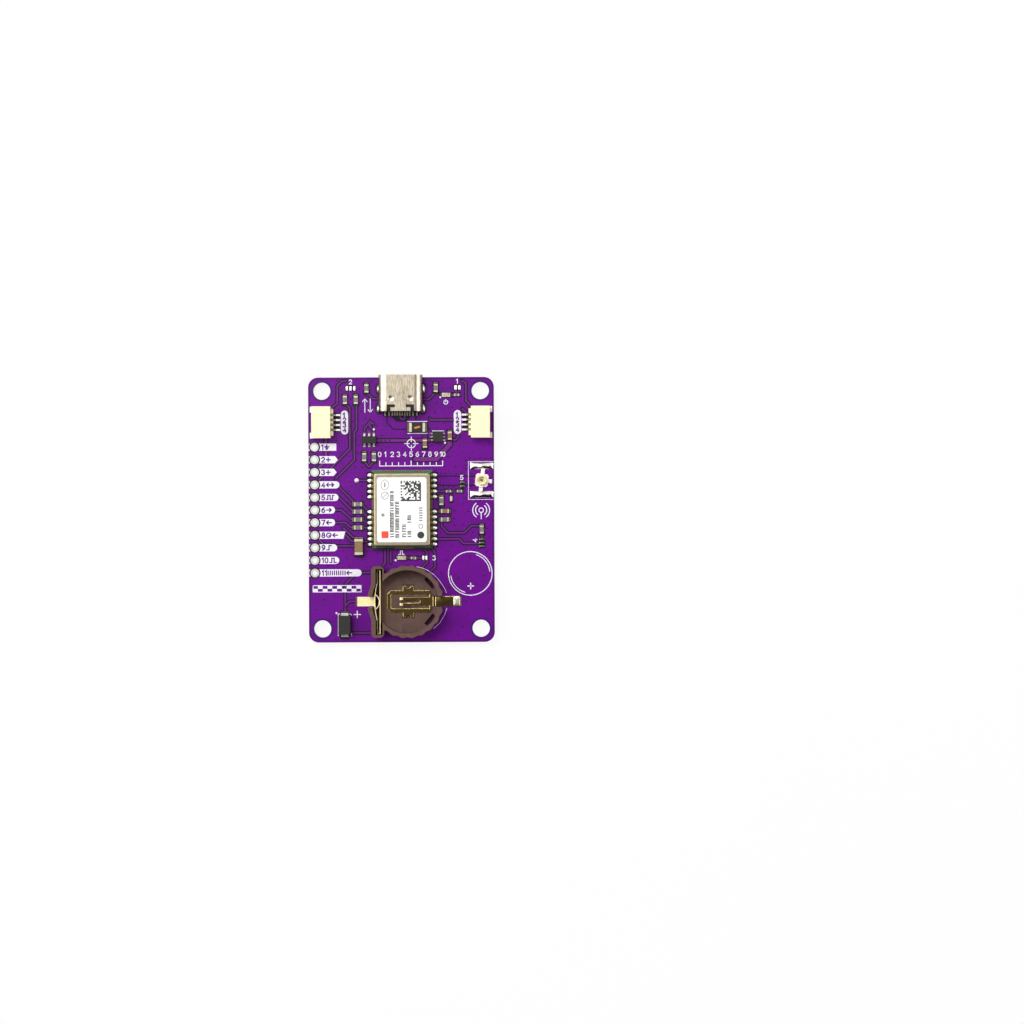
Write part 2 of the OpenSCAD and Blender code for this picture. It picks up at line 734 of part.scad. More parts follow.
// Chip on the module's board, at [x, y] with its length, width and height
module inner_chip(s)
  at_receiver() translate([s[0] - s[2] / 2, s[1] - s[3] / 2, receiver_z]) cube([s[2], s[3], s[4]]);

module receiver_chip() color("#26262a") inner_chip(receiver_chip_size);
module receiver_oscillator() color("#b8a878") inner_chip(oscillator_size);
module receiver_filter() color("#c8c4b8") inner_chip(filter_size);

// Aerial socket

module at_aerial()
  translate([board_w / 2 - aerial_inset, aerial_y, board_t]) rotate(aerial_turn) children();

// Strip that carries the centre pin out to its pad on the left
module aerial_tail()
  box([-aerial_base / 2 - 0.25, -aerial_pin_d / 2, 0], [0, aerial_pin_d / 2, aerial_sheet]);

module aerial_base() color("#f1ede2") at_aerial() difference() {
  linear_extrude(aerial_base_h) difference() {
    square(aerial_base, center = true);
    for (sx = [-1, 1], sy = [-1, 1]) translate([sx * aerial_base / 2, sy * aerial_base / 2]) rotate(45)
      square(aerial_sheet * 4, center = true);
  }
  aerial_tail();
  translate([0, 0, -cut]) cylinder(d = aerial_pin_d, h = aerial_base_h + 2 * cut);
}

module aerial_pin() color("#b98f45") at_aerial() {
  aerial_tail();
  cylinder(d = aerial_pin_d, h = aerial_h - aerial_sheet);
}

// One leg: runs over the base, down its side and out on its land
module aerial_leg(reach) {
  edge = aerial_base / 2;
  box([-aerial_leg_w / 2, (aerial_ring_d - aerial_ring_wall) / 2, aerial_base_h],
      [aerial_leg_w / 2, edge + aerial_sheet, aerial_base_h + aerial_sheet]);
  box([-aerial_leg_w / 2, edge, 0], [aerial_leg_w / 2, edge + aerial_sheet, aerial_base_h]);
  box([-aerial_leg_w / 2, edge, 0], [aerial_leg_w / 2, edge + reach, aerial_sheet]);
}

module aerial_legs() {
  for (turn = [0, 180]) rotate(turn) aerial_leg(aerial_leg);
  rotate(-90) aerial_leg(aerial_leg * 0.7);
}

module aerial_ring() color("#d8bf86") at_aerial() {
  outer = aerial_ring_d / 2;
  groove = aerial_ring_wall / 3;
  tall = aerial_h - aerial_base_h;
  translate([0, 0, aerial_base_h]) rotate_extrude()
    polygon([[outer - aerial_ring_wall, 0], [outer, 0], [outer, tall * 0.4],
             [outer - groove, tall * 0.5], [outer - groove, tall * 0.65], [outer, tall * 0.8],
             [outer - groove, tall], [outer - aerial_ring_wall, tall]]);
  aerial_legs();
}

module aerial_lands() color("#dad8d2") difference() {
  for (s = [-1, 1])
    translate([board_w / 2 - aerial_inset - land_l / 2, aerial_y + s * land_pitch / 2 - land_w / 2, board_t])
      cube([land_l, land_w, pad_t]);
  at_aerial() aerial_legs();
}

// Coin holder, drawn about the centre of its well

module at_holder()
  translate([holder_x, -board_l / 2 + holder_edge, board_t]) children();

// Plan of the moulding: round well wall with low lobes, joined to the spring block
module holder_plan() {
  circle(holder_r - lobe_rise);
  for (i = [0:holder_lobes - 1]) rotate(i * 360 / holder_lobes)
    translate([holder_r - lobe_r, 0]) circle(lobe_r);
  translate([-block_reach + block_w / 2, 0]) round_rect([block_w, block_l], block_r);
  polygon([[-block_reach + block_r, belly_in], [-block_reach, belly_in],
           [-block_reach - belly_out, belly_flat], [-block_reach - belly_out, -belly_flat],
           [-block_reach, -belly_in], [-block_reach + block_r, -belly_in]]);
}

// Plan of the slot that holds the side contact
module spring_slot() {
  translate([-slot_left, -slot_end]) square([slot_w, 2 * slot_end]);
  polygon([[-slot_left + spring_t, belly_in], [-slot_left, belly_in],
           [-slot_left - belly_out, belly_flat], [-slot_left - belly_out, -belly_flat],
           [-slot_left, -belly_in], [-slot_left + spring_t, -belly_in]]);
}

// Rectangular recess in the floor for an ear of the base contact
module ear_recess()
  translate([ear_x, plate_w / 2]) translate([-ear_w / 2 - ear_pocket, 0])
    square([ear_w + 2 * ear_pocket, ear_l + 2 * ear_pocket]);

module battery_holder() color("#5d433c") at_holder() difference() {
  linear_extrude(holder_h) holder_plan();
  translate([0, 0, holder_floor]) linear_extrude(holder_h) {
    circle(well_r);
    spring_slot();
  }
  // windows in the floor
  for (s = [-1, 1]) rotate(s * window_turn)
    translate([well_r - window_w, -window_l / 2, -cut]) cube([window_w, window_l, holder_h]);
  // recesses for the ears
  translate([0, 0, holder_floor / 2]) linear_extrude(holder_h)
    for (s = [0, 1]) mirror([0, s]) ear_recess();
  // gates for the tabs
  box([-block_reach - belly_out - cut, -spring_tab_w / 2 - tab_gap, -cut],
      [leaf_x, spring_tab_w / 2 + tab_gap, holder_h + cut]);
  box([plate_x + plate_l / 2 - plate_t / 2, -plate_tab_w / 2 - tab_gap / 4, -cut],
      [holder_r + cut, plate_tab_w / 2 + tab_gap / 4, holder_h + cut]);
}

// Side contact: straight blade folded back at both ends into a bowed leaf with a tab
module battery_side_contact() color("#c9b064") at_holder() {
  fold_y = slot_end - spring_t;
  translate([0, 0, holder_floor]) {
    box([blade_x - spring_t / 2, -fold_y, 0], [blade_x + spring_t / 2, fold_y, spring_h]);
    for (s = [0, 1]) mirror([0, s, 0]) {
      box([leaf_x - spring_t / 2, fold_y - spring_t, 0], [blade_x, fold_y, fold_h]);
      box([leaf_x - spring_t / 2, leaf_l / 2 - spring_t, 0], [leaf_x + spring_t / 2, fold_y, fold_h]);
    }
    translate([leaf_x, 0, 0]) bowed_strip(leaf_l, leaf_sag, spring_t, spring_h);
    translate([bow_x, 0, 0]) mirror([1, 0, 0]) bowed_strip(bow_l, bow_sag, spring_t, spring_h - spring_t);
  }
  box([leaf_x - leaf_sag - spring_t, -spring_tab_w / 2, 0],
      [leaf_x - leaf_sag, spring_tab_w / 2, holder_floor + fold_h]);
  box([-block_reach - belly_out - spring_tab, -spring_tab_w / 2, 0],
      [leaf_x - leaf_sag, spring_tab_w / 2, spring_t]);
}

// Plan of the base contact's frame with its ears, less the window
module plate_plan() difference() {
  union() {
    polygon([[-plate_l / 2 + plate_chamfer, -plate_w / 2], [plate_l / 2 - plate_chamfer, -plate_w / 2],
             [plate_l / 2, -plate_tab_w / 2], [plate_l / 2, plate_tab_w / 2],
             [plate_l / 2 - plate_chamfer, plate_w / 2], [-plate_l / 2 + plate_chamfer, plate_w / 2],
             [-plate_l / 2, plate_w / 2 - plate_chamfer], [-plate_l / 2, -plate_w / 2 + plate_chamfer]]);
    for (s = [0, 1]) mirror([0, s]) translate([ear_x - plate_x, plate_w / 2])
      difference() {
        translate([-ear_w / 2, 0]) square([ear_w, ear_l]);
        translate([0, ear_l]) circle(ear_notch_r);
      }
  }
  translate([-plate_l / 2 + rail_w, -plate_w / 2 + rail_w])
    square([window_right + plate_l / 2 - rail_w, plate_w - 2 * rail_w]);
}

// Sprung finger that rises from its root towards the middle of the well
module finger() {
  run = window_right - finger_root - finger_tip_x;
  rise = atan(finger_rise / run);
  translate([window_right - finger_root, 0, 0]) rotate([0, rise, 0])
    translate([-run, -finger_w / 2, 0]) cube([run, finger_w, plate_t]);
  translate([finger_tip_x, finger_w / 2, finger_rise + plate_t / 2]) rotate([90, 0, 0])
    cylinder(r = finger_tip_r, h = finger_w);
}

module battery_base_contact() color("#b09a5c") at_holder() {
  step = holder_floor;
  tab_end = holder_r + plate_tab;
  edge = plate_x + plate_l / 2;
  translate([plate_x, 0, step]) {
    linear_extrude(plate_t) plate_plan();
    for (s = [-1, 1]) translate([0, s * (finger_w + finger_gap) / 2, 0]) finger();
    translate([window_right - finger_root, -finger_w - finger_gap / 2, 0])
      cube([finger_root + plate_t, 2 * finger_w + finger_gap, plate_t]);
  }
  rotate([90, 0, 0]) linear_extrude(plate_tab_w, center = true)
    polygon([[edge - plate_t / 2, step], [edge - plate_t / 2, step + plate_t], [edge, step + plate_t],
             [edge + ramp_l, plate_t], [tab_end, plate_t], [tab_end, 0], [edge + ramp_l - plate_t, 0],
             [edge, step]]);
}

// Moulded packages

// Three leads down each long side of a package
module six_leads(body_w, pitch, top, run, foot, t, w)
  for (side = [-90, 90], i = [-1:1])
    rotate(side) translate([body_w / 2, i * pitch, 0]) gull_lead(top, run, foot, t, w);

// Solder at the toes of six leads
module six_toes(body_w, pitch, run, w)
  for (side = [-90, 90], i = [-1:1])
    rotate(side) translate([body_w / 2 + run, i * pitch, 0]) fillet(w, small_solder_reach);

module surge_protector_body() color("#1b1b1d") place(surge_place)
  moulded_body(surge_l, surge_w, surge_h, surge_lead_t);

module surge_protector_leads() color("#c6c2b8") place(surge_place)
  six_leads(surge_w, surge_lead_pitch, standoff + (surge_h + surge_lead_t) / 2, surge_lead_run,
            surge_lead_run / 2, surge_lead_t, surge_lead_w);

module regulator_body() color("#202023") place(regulator_place)
  moulded_body(regulator_l, regulator_w, regulator_h, regulator_lead_t);

module regulator_leads() color("#c6c2b8") place(regulator_place)
  six_leads(regulator_w, regulator_lead_pitch, standoff + (regulator_h + regulator_lead_t) / 2,
            regulator_lead_run, regulator_lead_run / 3, regulator_lead_t, regulator_lead_w);

module diode_body() color("#19191b") place(diode_place)
  moulded_body(diode_l, diode_w, diode_h, diode_lead_t);

module diode_leads() color("#c6c2b8") place(diode_place)
  for (turn = [0, 180]) rotate(turn) translate([diode_l / 2, 0, 0])
    gull_lead(standoff + (diode_h + diode_lead_t) / 2, diode_lead_run, diode_lead_run / 2, diode_lead_t,
              diode_lead_w);

// Chip parts

module resistor(i) color("#2a282c") place(resistor_places[i]) chip(chip_l, chip_w, resistor_h, chip_end);

module capacitor(i) color("#a07a58") place(capacitor_places[i])
  chip(chip_l, chip_w, capacitor_h, chip_end);

module small_resistor(i) color("#2a282c") place(small_resistor_places[i])
  chip(small_l, small_w, small_h, small_end);

module inductor() color("#e8e6de") place(inductor_place) chip(small_l, small_w, small_h, small_end);

module fuse() color("#222022") place(fuse_place) chip(long_chip_l, fuse_w, fuse_h, long_chip_end);

module bulk_capacitor() color("#c3a27a") place(bulk_place)
  chip(long_chip_l, bulk_w, bulk_h, long_chip_end);

// Chip light: flat base with metal ends under a clear drafted block
module led() {
  lens = chip_l - 2 * chip_end - 2 * cap_lip;
  tall = led_h - led_base_h + cap_lip;
  chip(chip_l, chip_w, led_base_h, chip_end);
  translate([0, 0, led_base_h - cap_lip]) rotate([90, 0, 0])
    linear_extrude(chip_w - 2 * cap_lip, center = true)
      polygon([[-lens / 2, 0], [lens / 2, 0], [lens / 2 - draft, tall], [-lens / 2 + draft, tall]]);
}

module power_led() color("#f0e6da") place(power_led_place) led();
module signal_led() color("#f0e6da") place(signal_led_place) led();

// Solder fillets at the ends of every chip, lead and holder tab
module chip_solder() color("#dedcd6") {
  for (p = concat(resistor_places, capacitor_places))
    place(p) end_fillets(chip_l, chip_w, solder_reach);
  for (p = [power_led_place, signal_led_place])
    place(p) end_fillets(chip_l, chip_w, led_base_h);
  for (p = concat(small_resistor_places, [inductor_place]))
    place(p) end_fillets(small_l, small_w, small_solder_reach);
  place(fuse_place) end_fillets(long_chip_l, fuse_w, solder_reach);
  place(bulk_place) end_fillets(long_chip_l, bulk_w, solder_reach);
  place(diode_place) end_fillets(diode_l + 2 * diode_lead_run, diode_lead_w, small_solder_reach);
  place(surge_place) six_toes(surge_w, surge_lead_pitch, surge_lead_run, surge_lead_w);
  place(regulator_place) six_toes(regulator_w, regulator_lead_pitch, regulator_lead_run, regulator_lead_w);
  at_holder() {
    translate([holder_r + plate_tab, 0, 0]) fillet(plate_tab_w, small_solder_reach);
    translate([-block_reach - belly_out - spring_tab, 0, 0]) mirror([1, 0, 0])
      fillet(spring_tab_w, small_solder_reach);
  }
}

circuit_board();
header_pads();
port_shell();
port_insulator();
port_contacts();
port_solder();
left_socket_housing();
left_socket_contacts();
left_socket_tabs();
right_socket_housing();
right_socket_contacts();
right_socket_tabs();
socket_solder();
receiver_board();
receiver_shield();
receiver_label();
receiver_solder();
receiver_chip();
receiver_oscillator();
receiver_filter();
aerial_base();
aerial_ring();
aerial_pin();
aerial_lands();
battery_holder();
battery_side_contact();
battery_base_contact();
surge_protector_body();
surge_protector_leads();
regulator_body();
regulator_leads();
diode_body();
diode_leads();
fuse();
bulk_capacitor();
inductor();
power_led();
signal_led();
jumper_pads();
chip_solder();
for (i = [1:len(capacitor_places)]) capacitor(i - 1);
for (i = [1:len(resistor_places)]) resistor(i - 1);
for (i = [1:len(small_resistor_places)])
  small_resistor(i - 1);
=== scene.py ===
"""Looks of a satellite receiver breakout board.

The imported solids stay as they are. Each gets its finish here, and this script adds what is too thin for the
solids: copper tracks, via holes, white print and the label's marks. Domed solder stands for the flat solder,
and copies with rounded edges stand for the holder, its base contact, the sockets and the black packages.
Lengths are millimetres in the part's frame until a mesh is made: X runs to the aerial socket, Y to the data
port and Z up through the board.
"""

from __future__ import annotations

import json
import logging
import math
from collections.abc import Callable, Iterable, Sequence
from dataclasses import dataclass, field
from enum import Enum

import bmesh
import bpy
import numpy as np
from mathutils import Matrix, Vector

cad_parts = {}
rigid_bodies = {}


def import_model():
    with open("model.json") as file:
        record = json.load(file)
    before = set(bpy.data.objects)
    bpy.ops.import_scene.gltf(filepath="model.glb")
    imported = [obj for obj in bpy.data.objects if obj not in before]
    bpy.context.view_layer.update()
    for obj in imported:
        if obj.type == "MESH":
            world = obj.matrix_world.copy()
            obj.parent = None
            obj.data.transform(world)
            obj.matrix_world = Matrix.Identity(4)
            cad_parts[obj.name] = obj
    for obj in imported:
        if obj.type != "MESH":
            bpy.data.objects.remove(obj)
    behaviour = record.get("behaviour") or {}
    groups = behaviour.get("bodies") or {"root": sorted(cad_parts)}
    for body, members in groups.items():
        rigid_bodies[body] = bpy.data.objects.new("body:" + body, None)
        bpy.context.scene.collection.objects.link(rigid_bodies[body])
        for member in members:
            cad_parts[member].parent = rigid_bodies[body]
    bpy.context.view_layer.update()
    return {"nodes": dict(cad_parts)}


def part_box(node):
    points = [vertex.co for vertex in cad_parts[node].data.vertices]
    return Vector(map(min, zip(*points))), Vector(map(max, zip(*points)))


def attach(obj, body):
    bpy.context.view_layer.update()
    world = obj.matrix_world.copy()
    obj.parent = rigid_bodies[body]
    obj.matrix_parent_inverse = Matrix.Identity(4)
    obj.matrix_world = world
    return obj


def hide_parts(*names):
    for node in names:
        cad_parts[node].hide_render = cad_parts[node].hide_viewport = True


Array = np.ndarray
Point = tuple[float, float]
Path = tuple[Point, ...]
FaceRule = Callable[[Array, Array], Array]
Tree = bpy.types.NodeTree
Socket = bpy.types.NodeSocket

LOG = logging.getLogger("board")
MM = 0.001
SEED = 12
SIDES = (-1, 1)
# Points closer than this many metres are merged, in a new surface and in a copy of a solid
MERGE = 1e-8
COPY_MERGE = 1e-7
# Angles in degrees: flat faces that are joined, faces that shade into each other, edges that are rounded
FLAT_ANGLE, SMOOTH_ANGLE, EDGE_ANGLE = 0.5, 28, 40
# A wave texture of scale 1 repeats after this length, and each noise has this many octaves
WAVE = 2 * math.pi / 20
DETAIL = 3.0
# How far the underside of a thin layer is sunk into what carries it
SINK = 0.01
# How much higher each next line of a layer lies, so that crossing lines never share a plane
LIFT = 1e-5
# A face is upright where its normal rises less than this, and on a plane where it is this close to it
UPRIGHT = 0.5
NEAR = 0.005
# Flat share of a printed line's width, and the least divisor of a mitre, which blunts sharp corners
SHOULDER = 0.88
MITRE_LEAST = 0.4


# Node and colour helpers

def linear(hex_colour: str) -> tuple[float, float, float, float]:
    """Turns an sRGB hex colour into linear RGBA by the sRGB curve.

    Args:
        hex_colour: Colour such as "#6f1a8f".

    Returns:
        Linear red, green, blue and an alpha of 1.
    """
    srgb = np.array([int(hex_colour[i:i + 2], 16) for i in (1, 3, 5)]) / 255
    rgb = np.where(srgb <= 0.04045, srgb / 12.92, ((srgb + 0.055) / 1.055) ** 2.4)
    return (float(rgb[0]), float(rgb[1]), float(rgb[2]), 1.0)


def add_node(tree: Tree, kind: str, inputs: dict | None = None, **settings: object) -> bpy.types.Node:
    """Adds a node, sets its own settings and fills its inputs.

    Args:
        tree: Node tree that gets the node.
        kind: Blender's name of the node's type.
        inputs: Input name or number to a value, or to the output socket that feeds it.
        settings: Attributes of the node itself.

    Returns:
        The new node.
    """
    node = tree.nodes.new(kind)
    for name, value in settings.items():
        setattr(node, name, value)
    for key, value in (inputs or {}).items():
        if isinstance(value, Socket):
            tree.links.new(value, node.inputs[key])
        else:
            node.inputs[key].default_value = value
    return node


def seen_by_eye(tree: Tree) -> Socket:
    """Tells what the camera, mirrors and glass see from what only lights the part.

    Args:
        tree: Node tree of a material or of the world.

    Returns:
        Socket that is 1 for what is seen and 0 for the rest.
    """
    rays = add_node(tree, "ShaderNodeLightPath").outputs
    seen = rays["Is Camera Ray"]
    for kind in ("Is Glossy Ray", "Is Transmission Ray"):
        seen = add_node(tree, "ShaderNodeMath", {0: seen, 1: rays[kind]}, operation="MAXIMUM").outputs[0]
    return seen


def new_object(name: str, data: bpy.types.ID) -> bpy.types.Object:
    """Puts a mesh, lamp or camera into the scene as an object at the origin.

    Args:
        name: Name of the object.
        data: What it shows.

    Returns:
        The new object.
    """
    obj = bpy.data.objects.new(name, data)
    bpy.context.scene.collection.objects.link(obj)
    return obj


# Finishes

@dataclass(frozen=True)
class Finish:
    """A real material and how its surface was made.

    The plain pattern is mottling: noise of mottle_mm mixes colour with shade and shifts the roughness by
    spread, and noise of grain_mm lifts the surface by bump_mm. The noise reaches the full colour and the full
    shade at reach above and below its middle.
    """

    name: str
    colour: str
    shade: str
    roughness: float
    spread: float = 0.05
    mottle_mm: float = 1.0
    grain_mm: float = 0.15
    bump_mm: float = 0.004
    metallic: float = 0.0
    specular: float = 0.5
    coat: float = 0.0
    coat_roughness: float = 0.15
    clear: float = 0.0
    reach: float = 0.25

    def grain_place(self, tree: Tree, place: Socket) -> Socket:
        """Coordinates that the fine grain is read at: those of the piece."""
        return place

    def pattern(self, tree: Tree, place: Socket) -> tuple[Socket, Socket]:
        """Works out the pattern of the surface from two noises.

        Args:
            tree: Node tree of the material.
            place: Object coordinates, in metres.

        Returns:
            Sockets of the colour's share of shade and of the surface's height, each from 0 to 1.
        """
        sizes = ((place, self.mottle_mm), (self.grain_place(tree, place), self.grain_mm))
        blotch, grain = (add_node(tree, "ShaderNodeTexNoise", {
            "Vector": vector, "Scale": 1 / (size * MM), "Detail": DETAIL}) for vector, size in sizes)
        return blotch.outputs["Fac"], grain.outputs["Fac"]

    def surface(self, tree: Tree, shader: Socket) -> Socket:
        """The shader itself; a finish that adds to it gives its own."""
        return shader

    def material(self) -> bpy.types.Material:
        """Builds the material, unless it was built before.

        Returns:
            The one material of this name.
        """
        material = bpy.data.materials.get(self.name)
        if material:
            return material
        material = bpy.data.materials.new(self.name)
        material.use_nodes = True
        tree = material.node_tree
        tree.nodes.clear()
        share, height = self.pattern(tree, add_node(tree, "ShaderNodeTexCoord").outputs["Object"])
        spread = add_node(tree, "ShaderNodeMapRange", {
            "Value": share, "From Min": 0.5 - self.reach, "From Max": 0.5 + self.reach})
        colour = add_node(tree, "ShaderNodeMix", {
            0: spread.outputs[0], 6: linear(self.colour), 7: linear(self.shade)}, data_type="RGBA")
        rough = add_node(tree, "ShaderNodeMapRange", {
            "Value": share, "To Min": self.roughness - self.spread, "To Max": self.roughness + self.spread})
        bump = add_node(tree, "ShaderNodeBump", {
            "Height": height, "Strength": 1.0, "Distance": self.bump_mm * MM})
        shader = add_node(tree, "ShaderNodeBsdfPrincipled", {
            "Base Color": colour.outputs[2], "Roughness": rough.outputs[0], "Normal": bump.outputs[0],
            "Metallic": self.metallic, "Specular IOR Level": self.specular, "Coat Weight": self.coat,
            "Coat Roughness": self.coat_roughness, "Transmission Weight": self.clear})
        add_node(tree, "ShaderNodeOutputMaterial", {"Surface": self.surface(tree, shader.outputs[0])})
        return material


@dataclass(frozen=True)
class Backdrop(Finish):
    """Pale paper that the camera and mirrors see close to white: white is the share that no shade reaches."""

    white: float = 0.9

    def surface(self, tree: Tree, shader: Socket) -> Socket:
        """Mixes the lit paper with plain white of strength 1, for what is seen and not for what lights.

        Args:
            tree: Node tree of the material.
            shader: The lit paper.

        Returns:
            Socket of the mixed shader.
        """
        share = add_node(tree, "ShaderNodeMapRange", {"Value": seen_by_eye(tree), "To Max": self.white})
        white = add_node(tree, "ShaderNodeEmission", {"Color": linear("#ffffff"), "Strength": 1.0})
        mixed = add_node(tree, "ShaderNodeMixShader", {0: share.outputs[0], 1: shader, 2: white.outputs[0]})
        return mixed.outputs[0]


@dataclass(frozen=True)
class Woven(Finish):
    """Film over glass cloth: two crossed waves, thread_mm apart, show through as a faint lattice of bumps.

    The lattice makes up the share show of the colour's pattern, fine noise the share fine of the rest.
    """

    thread_mm: float = 0.5
    show: float = 0.3
    fine: float = 0.45
    wander: float = 2.0

    def pattern(self, tree: Tree, place: Socket) -> tuple[Socket, Socket]:
        """Mottling and lattice for the colour, and the product of waves along X and Y for the height.

        Args:
            tree: Node tree of the material.
            place: Object coordinates, in metres.

        Returns:
            Sockets of the colour's share of shade and of the surface's height.
        """
        blotch, grain = super().pattern(tree, place)
        along_x, along_y = (add_node(tree, "ShaderNodeTexWave", {
            "Vector": place, "Scale": WAVE / (self.thread_mm * MM), "Distortion": self.wander,
            "Detail": 1.0}, bands_direction=axis).outputs["Fac"] for axis in "XY")
        cloth = add_node(tree, "ShaderNodeMath", {0: along_x, 1: along_y}, operation="MULTIPLY").outputs[0]
        mottle = add_node(tree, "ShaderNodeMix", {0: self.fine, 2: blotch, 3: grain}).outputs[0]
        share = add_node(tree, "ShaderNodeMix", {0: self.show, 2: mottle, 3: cloth}).outputs[0]
        return share, cloth


@dataclass(frozen=True)
class Plies(Finish):
    """Sawn edge of a laminate: level bands ply_mm apart, one for each ply of glass cloth."""

    ply_mm: float = 0.2
    wander: float = 3.0

    def pattern(self, tree: Tree, place: Socket) -> tuple[Socket, Socket]:
        """Waves along Z for the plies, and fine noise for the torn fibres.

        Args:
            tree: Node tree of the material.
            place: Object coordinates, in metres.

        Returns:
            Sockets of the colour's share of shade and of the surface's height.
        """
        bands = add_node(tree, "ShaderNodeTexWave", {
            "Vector": place, "Scale": WAVE / (self.ply_mm * MM), "Distortion": self.wander,
            "Detail": 2.0}, bands_direction="Z")
        torn = add_node(tree, "ShaderNodeTexNoise", {
            "Vector": place, "Scale": 1 / (self.grain_mm * MM), "Detail": DETAIL})
        return bands.outputs["Fac"], torn.outputs["Fac"]


@dataclass(frozen=True)
class Metal(Finish):
    """Bare metal: its colour tints what it mirrors, and it keeps the default index of refraction."""

    metallic: float = 1.0


@dataclass(frozen=True)
class Rolled(Metal):
    """Rolled or drawn sheet: fine lines run the way it was rolled.

    The lines make up the share streak of the pattern, and blotches the rest.
    """

    stretch: tuple[float, float, float] = (1.0, 0.08, 1.0)
    streak: float = 0.5

    def grain_place(self, tree: Tree, place: Socket) -> Socket:
        """Coordinates shrunk along the rolling axis, which draws the grain out into lines."""
        return add_node(tree, "ShaderNodeMapping", {"Vector": place, "Scale": self.stretch}).outputs[0]

    def pattern(self, tree: Tree, place: Socket) -> tuple[Socket, Socket]:
        """Blotches and lines for the colour, and the lines for the height."""
        blotch, lines = super().pattern(tree, place)
        return add_node(tree, "ShaderNodeMix", {0: self.streak, 2: blotch, 3: lines}).outputs[0], lines


# Purple epoxy solder mask over copper: satin, deep, with the glass cloth just showing
PURPLE_MASK = Woven("purple_solder_mask_on_copper", "#720594", "#5a0474", 0.27, mottle_mm=2.2,
                    grain_mm=0.45, bump_mm=0.002, specular=0.28, show=0.1)
# Mask in the shade of the holder's windows, warmed by the brown walls round it
SHADED_MASK = Woven("purple_solder_mask_in_brown_shade", "#4a2136", "#381728", 0.5, mottle_mm=0.8,
                    specular=0.1)
# The same mask over bare glass epoxy, which swallows the light: nearly black indigo
GAP_MASK = Woven("purple_solder_mask_on_bare_glass_epoxy", "#1c0e2b", "#13091f", 0.42, mottle_mm=0.8,
                 bump_mm=0.004, specular=0.2)
# Mask on the bare ring round each mounting hole: bluer and a little deeper
HOLE_MASK = Woven("purple_solder_mask_round_the_holes", "#4b1079", "#3a0b60", 0.3, mottle_mm=0.8,
                  bump_mm=0.002, specular=0.3)
# Mask over a narrow track, thinner on the copper's shoulders, so a little lighter and pinker
TRACK_MASK = Woven("purple_solder_mask_on_track", "#771588", "#621070", 0.36, mottle_mm=0.9, grain_mm=0.25,
                   bump_mm=0.004, specular=0.4)
# Sawn glass epoxy edge: straw coloured, in fine level plies
LAMINATE = Plies("sawn_glass_epoxy_edge", "#aa9c6e", "#95865a", 0.65, mottle_mm=0.6, grain_mm=0.08,
                 bump_mm=0.01)
# Screen printed white ink: matt, a touch uneven
WHITE_INK = Finish("screen_printed_white_ink", "#f3f3f4", "#dcdbe3", 0.6, mottle_mm=0.35, grain_mm=0.08)
# Hot tinned copper and reflowed solder: bright, soft ripples
TIN = Metal("reflowed_tin_solder", "#e6e3dc", "#c9c4b8", 0.24, 0.1, mottle_mm=0.4, grain_mm=0.3,
            bump_mm=0.012)
# Tin that flowed freely over a wide land: a smooth mirror
SMOOTH_TIN = Metal("smooth_flowed_tin", "#f4f1ea", "#e2ddd2", 0.17, 0.04, mottle_mm=0.8, grain_mm=1.2,
                   bump_mm=0.004)
# Levelled tin on flat pads and tabs: satin, nearly white from any side
SATIN_TIN = Metal("levelled_satin_tin", "#f6f4ee", "#e4e0d6", 0.58, 0.08, mottle_mm=0.3, grain_mm=0.2,
                  bump_mm=0.006)
# Tinned ends of chips: dull and a little straw coloured from the reflow
CAP_TIN = Metal("dull_tin_on_chip_ends", "#e6dfcc", "#b9af97", 0.4, 0.1, mottle_mm=0.2, grain_mm=0.12,
                bump_mm=0.01)
# Thin fillets and unsoldered pads: grey, drawn up steep, so they mirror the dark low sides
DULL_TIN = Metal("dull_drawn_fillet_tin", "#848471", "#4c5046", 0.3, 0.1, mottle_mm=0.25, grain_mm=0.12,
                 bump_mm=0.012)
# Fillets at the ends of the chips: rough, steep and dark brownish grey
FILLET_TIN = Metal("dark_brownish_fillet_tin", "#7d6c66", "#554844", 0.5, 0.1, mottle_mm=0.25, grain_mm=0.12,
                   bump_mm=0.01)
# Beads on the receiver's half holes: bright and a little frosted
BEAD_TIN = Metal("frosted_bead_tin", "#f6f3ec", "#dedad0", 0.38, 0.08, mottle_mm=0.4, grain_mm=0.3,
                 bump_mm=0.006)
# Tin plated round the pin holes and on broad leads: grey and satin
PLATED_TIN = Metal("plated_satin_tin", "#dcdad3", "#b3b0a8", 0.42, 0.1, mottle_mm=0.3, grain_mm=0.2,
                   bump_mm=0.008)
# Matt tin on thin leads: mid grey, a little straw coloured
LEAD_TIN = Metal("matt_tin_on_leads", "#b9b29d", "#8a8370", 0.4, 0.1, mottle_mm=0.2, grain_mm=0.12,
                 bump_mm=0.008)
# Nickel plated folded sheet of the port: warm grey with streaks the way it was rolled, drawn coarser and with
# strong contrast that paints in streaks of reflection
NICKEL = Rolled("nickel_plated_folded_sheet", "#f6e9d3", "#988a72", 0.32, 0.1, mottle_mm=2.4, grain_mm=0.13,
                bump_mm=0.002, reach=0.17, stretch=(1.0, 0.12, 1.0), streak=0.7)
# The same sheet on its steep sides, painted darker as shade, standing for the dark board that the sides
# mirror
SHADED_SIDE_NICKEL = Rolled("nickel_sheet_with_painted_side_shade", "#a79b8a", "#75695a", 0.3, 0.1, mottle_mm=1.0,
                     grain_mm=0.12, bump_mm=0.003)
# Drawn nickel silver can: duller and warmer than the port
CAN_METAL = Rolled("drawn_nickel_silver_can", "#b5aa93", "#94886f", 0.42, 0.06, mottle_mm=0.7,
                   grain_mm=0.12, bump_mm=0.003, stretch=(0.15, 1.0, 1.0))
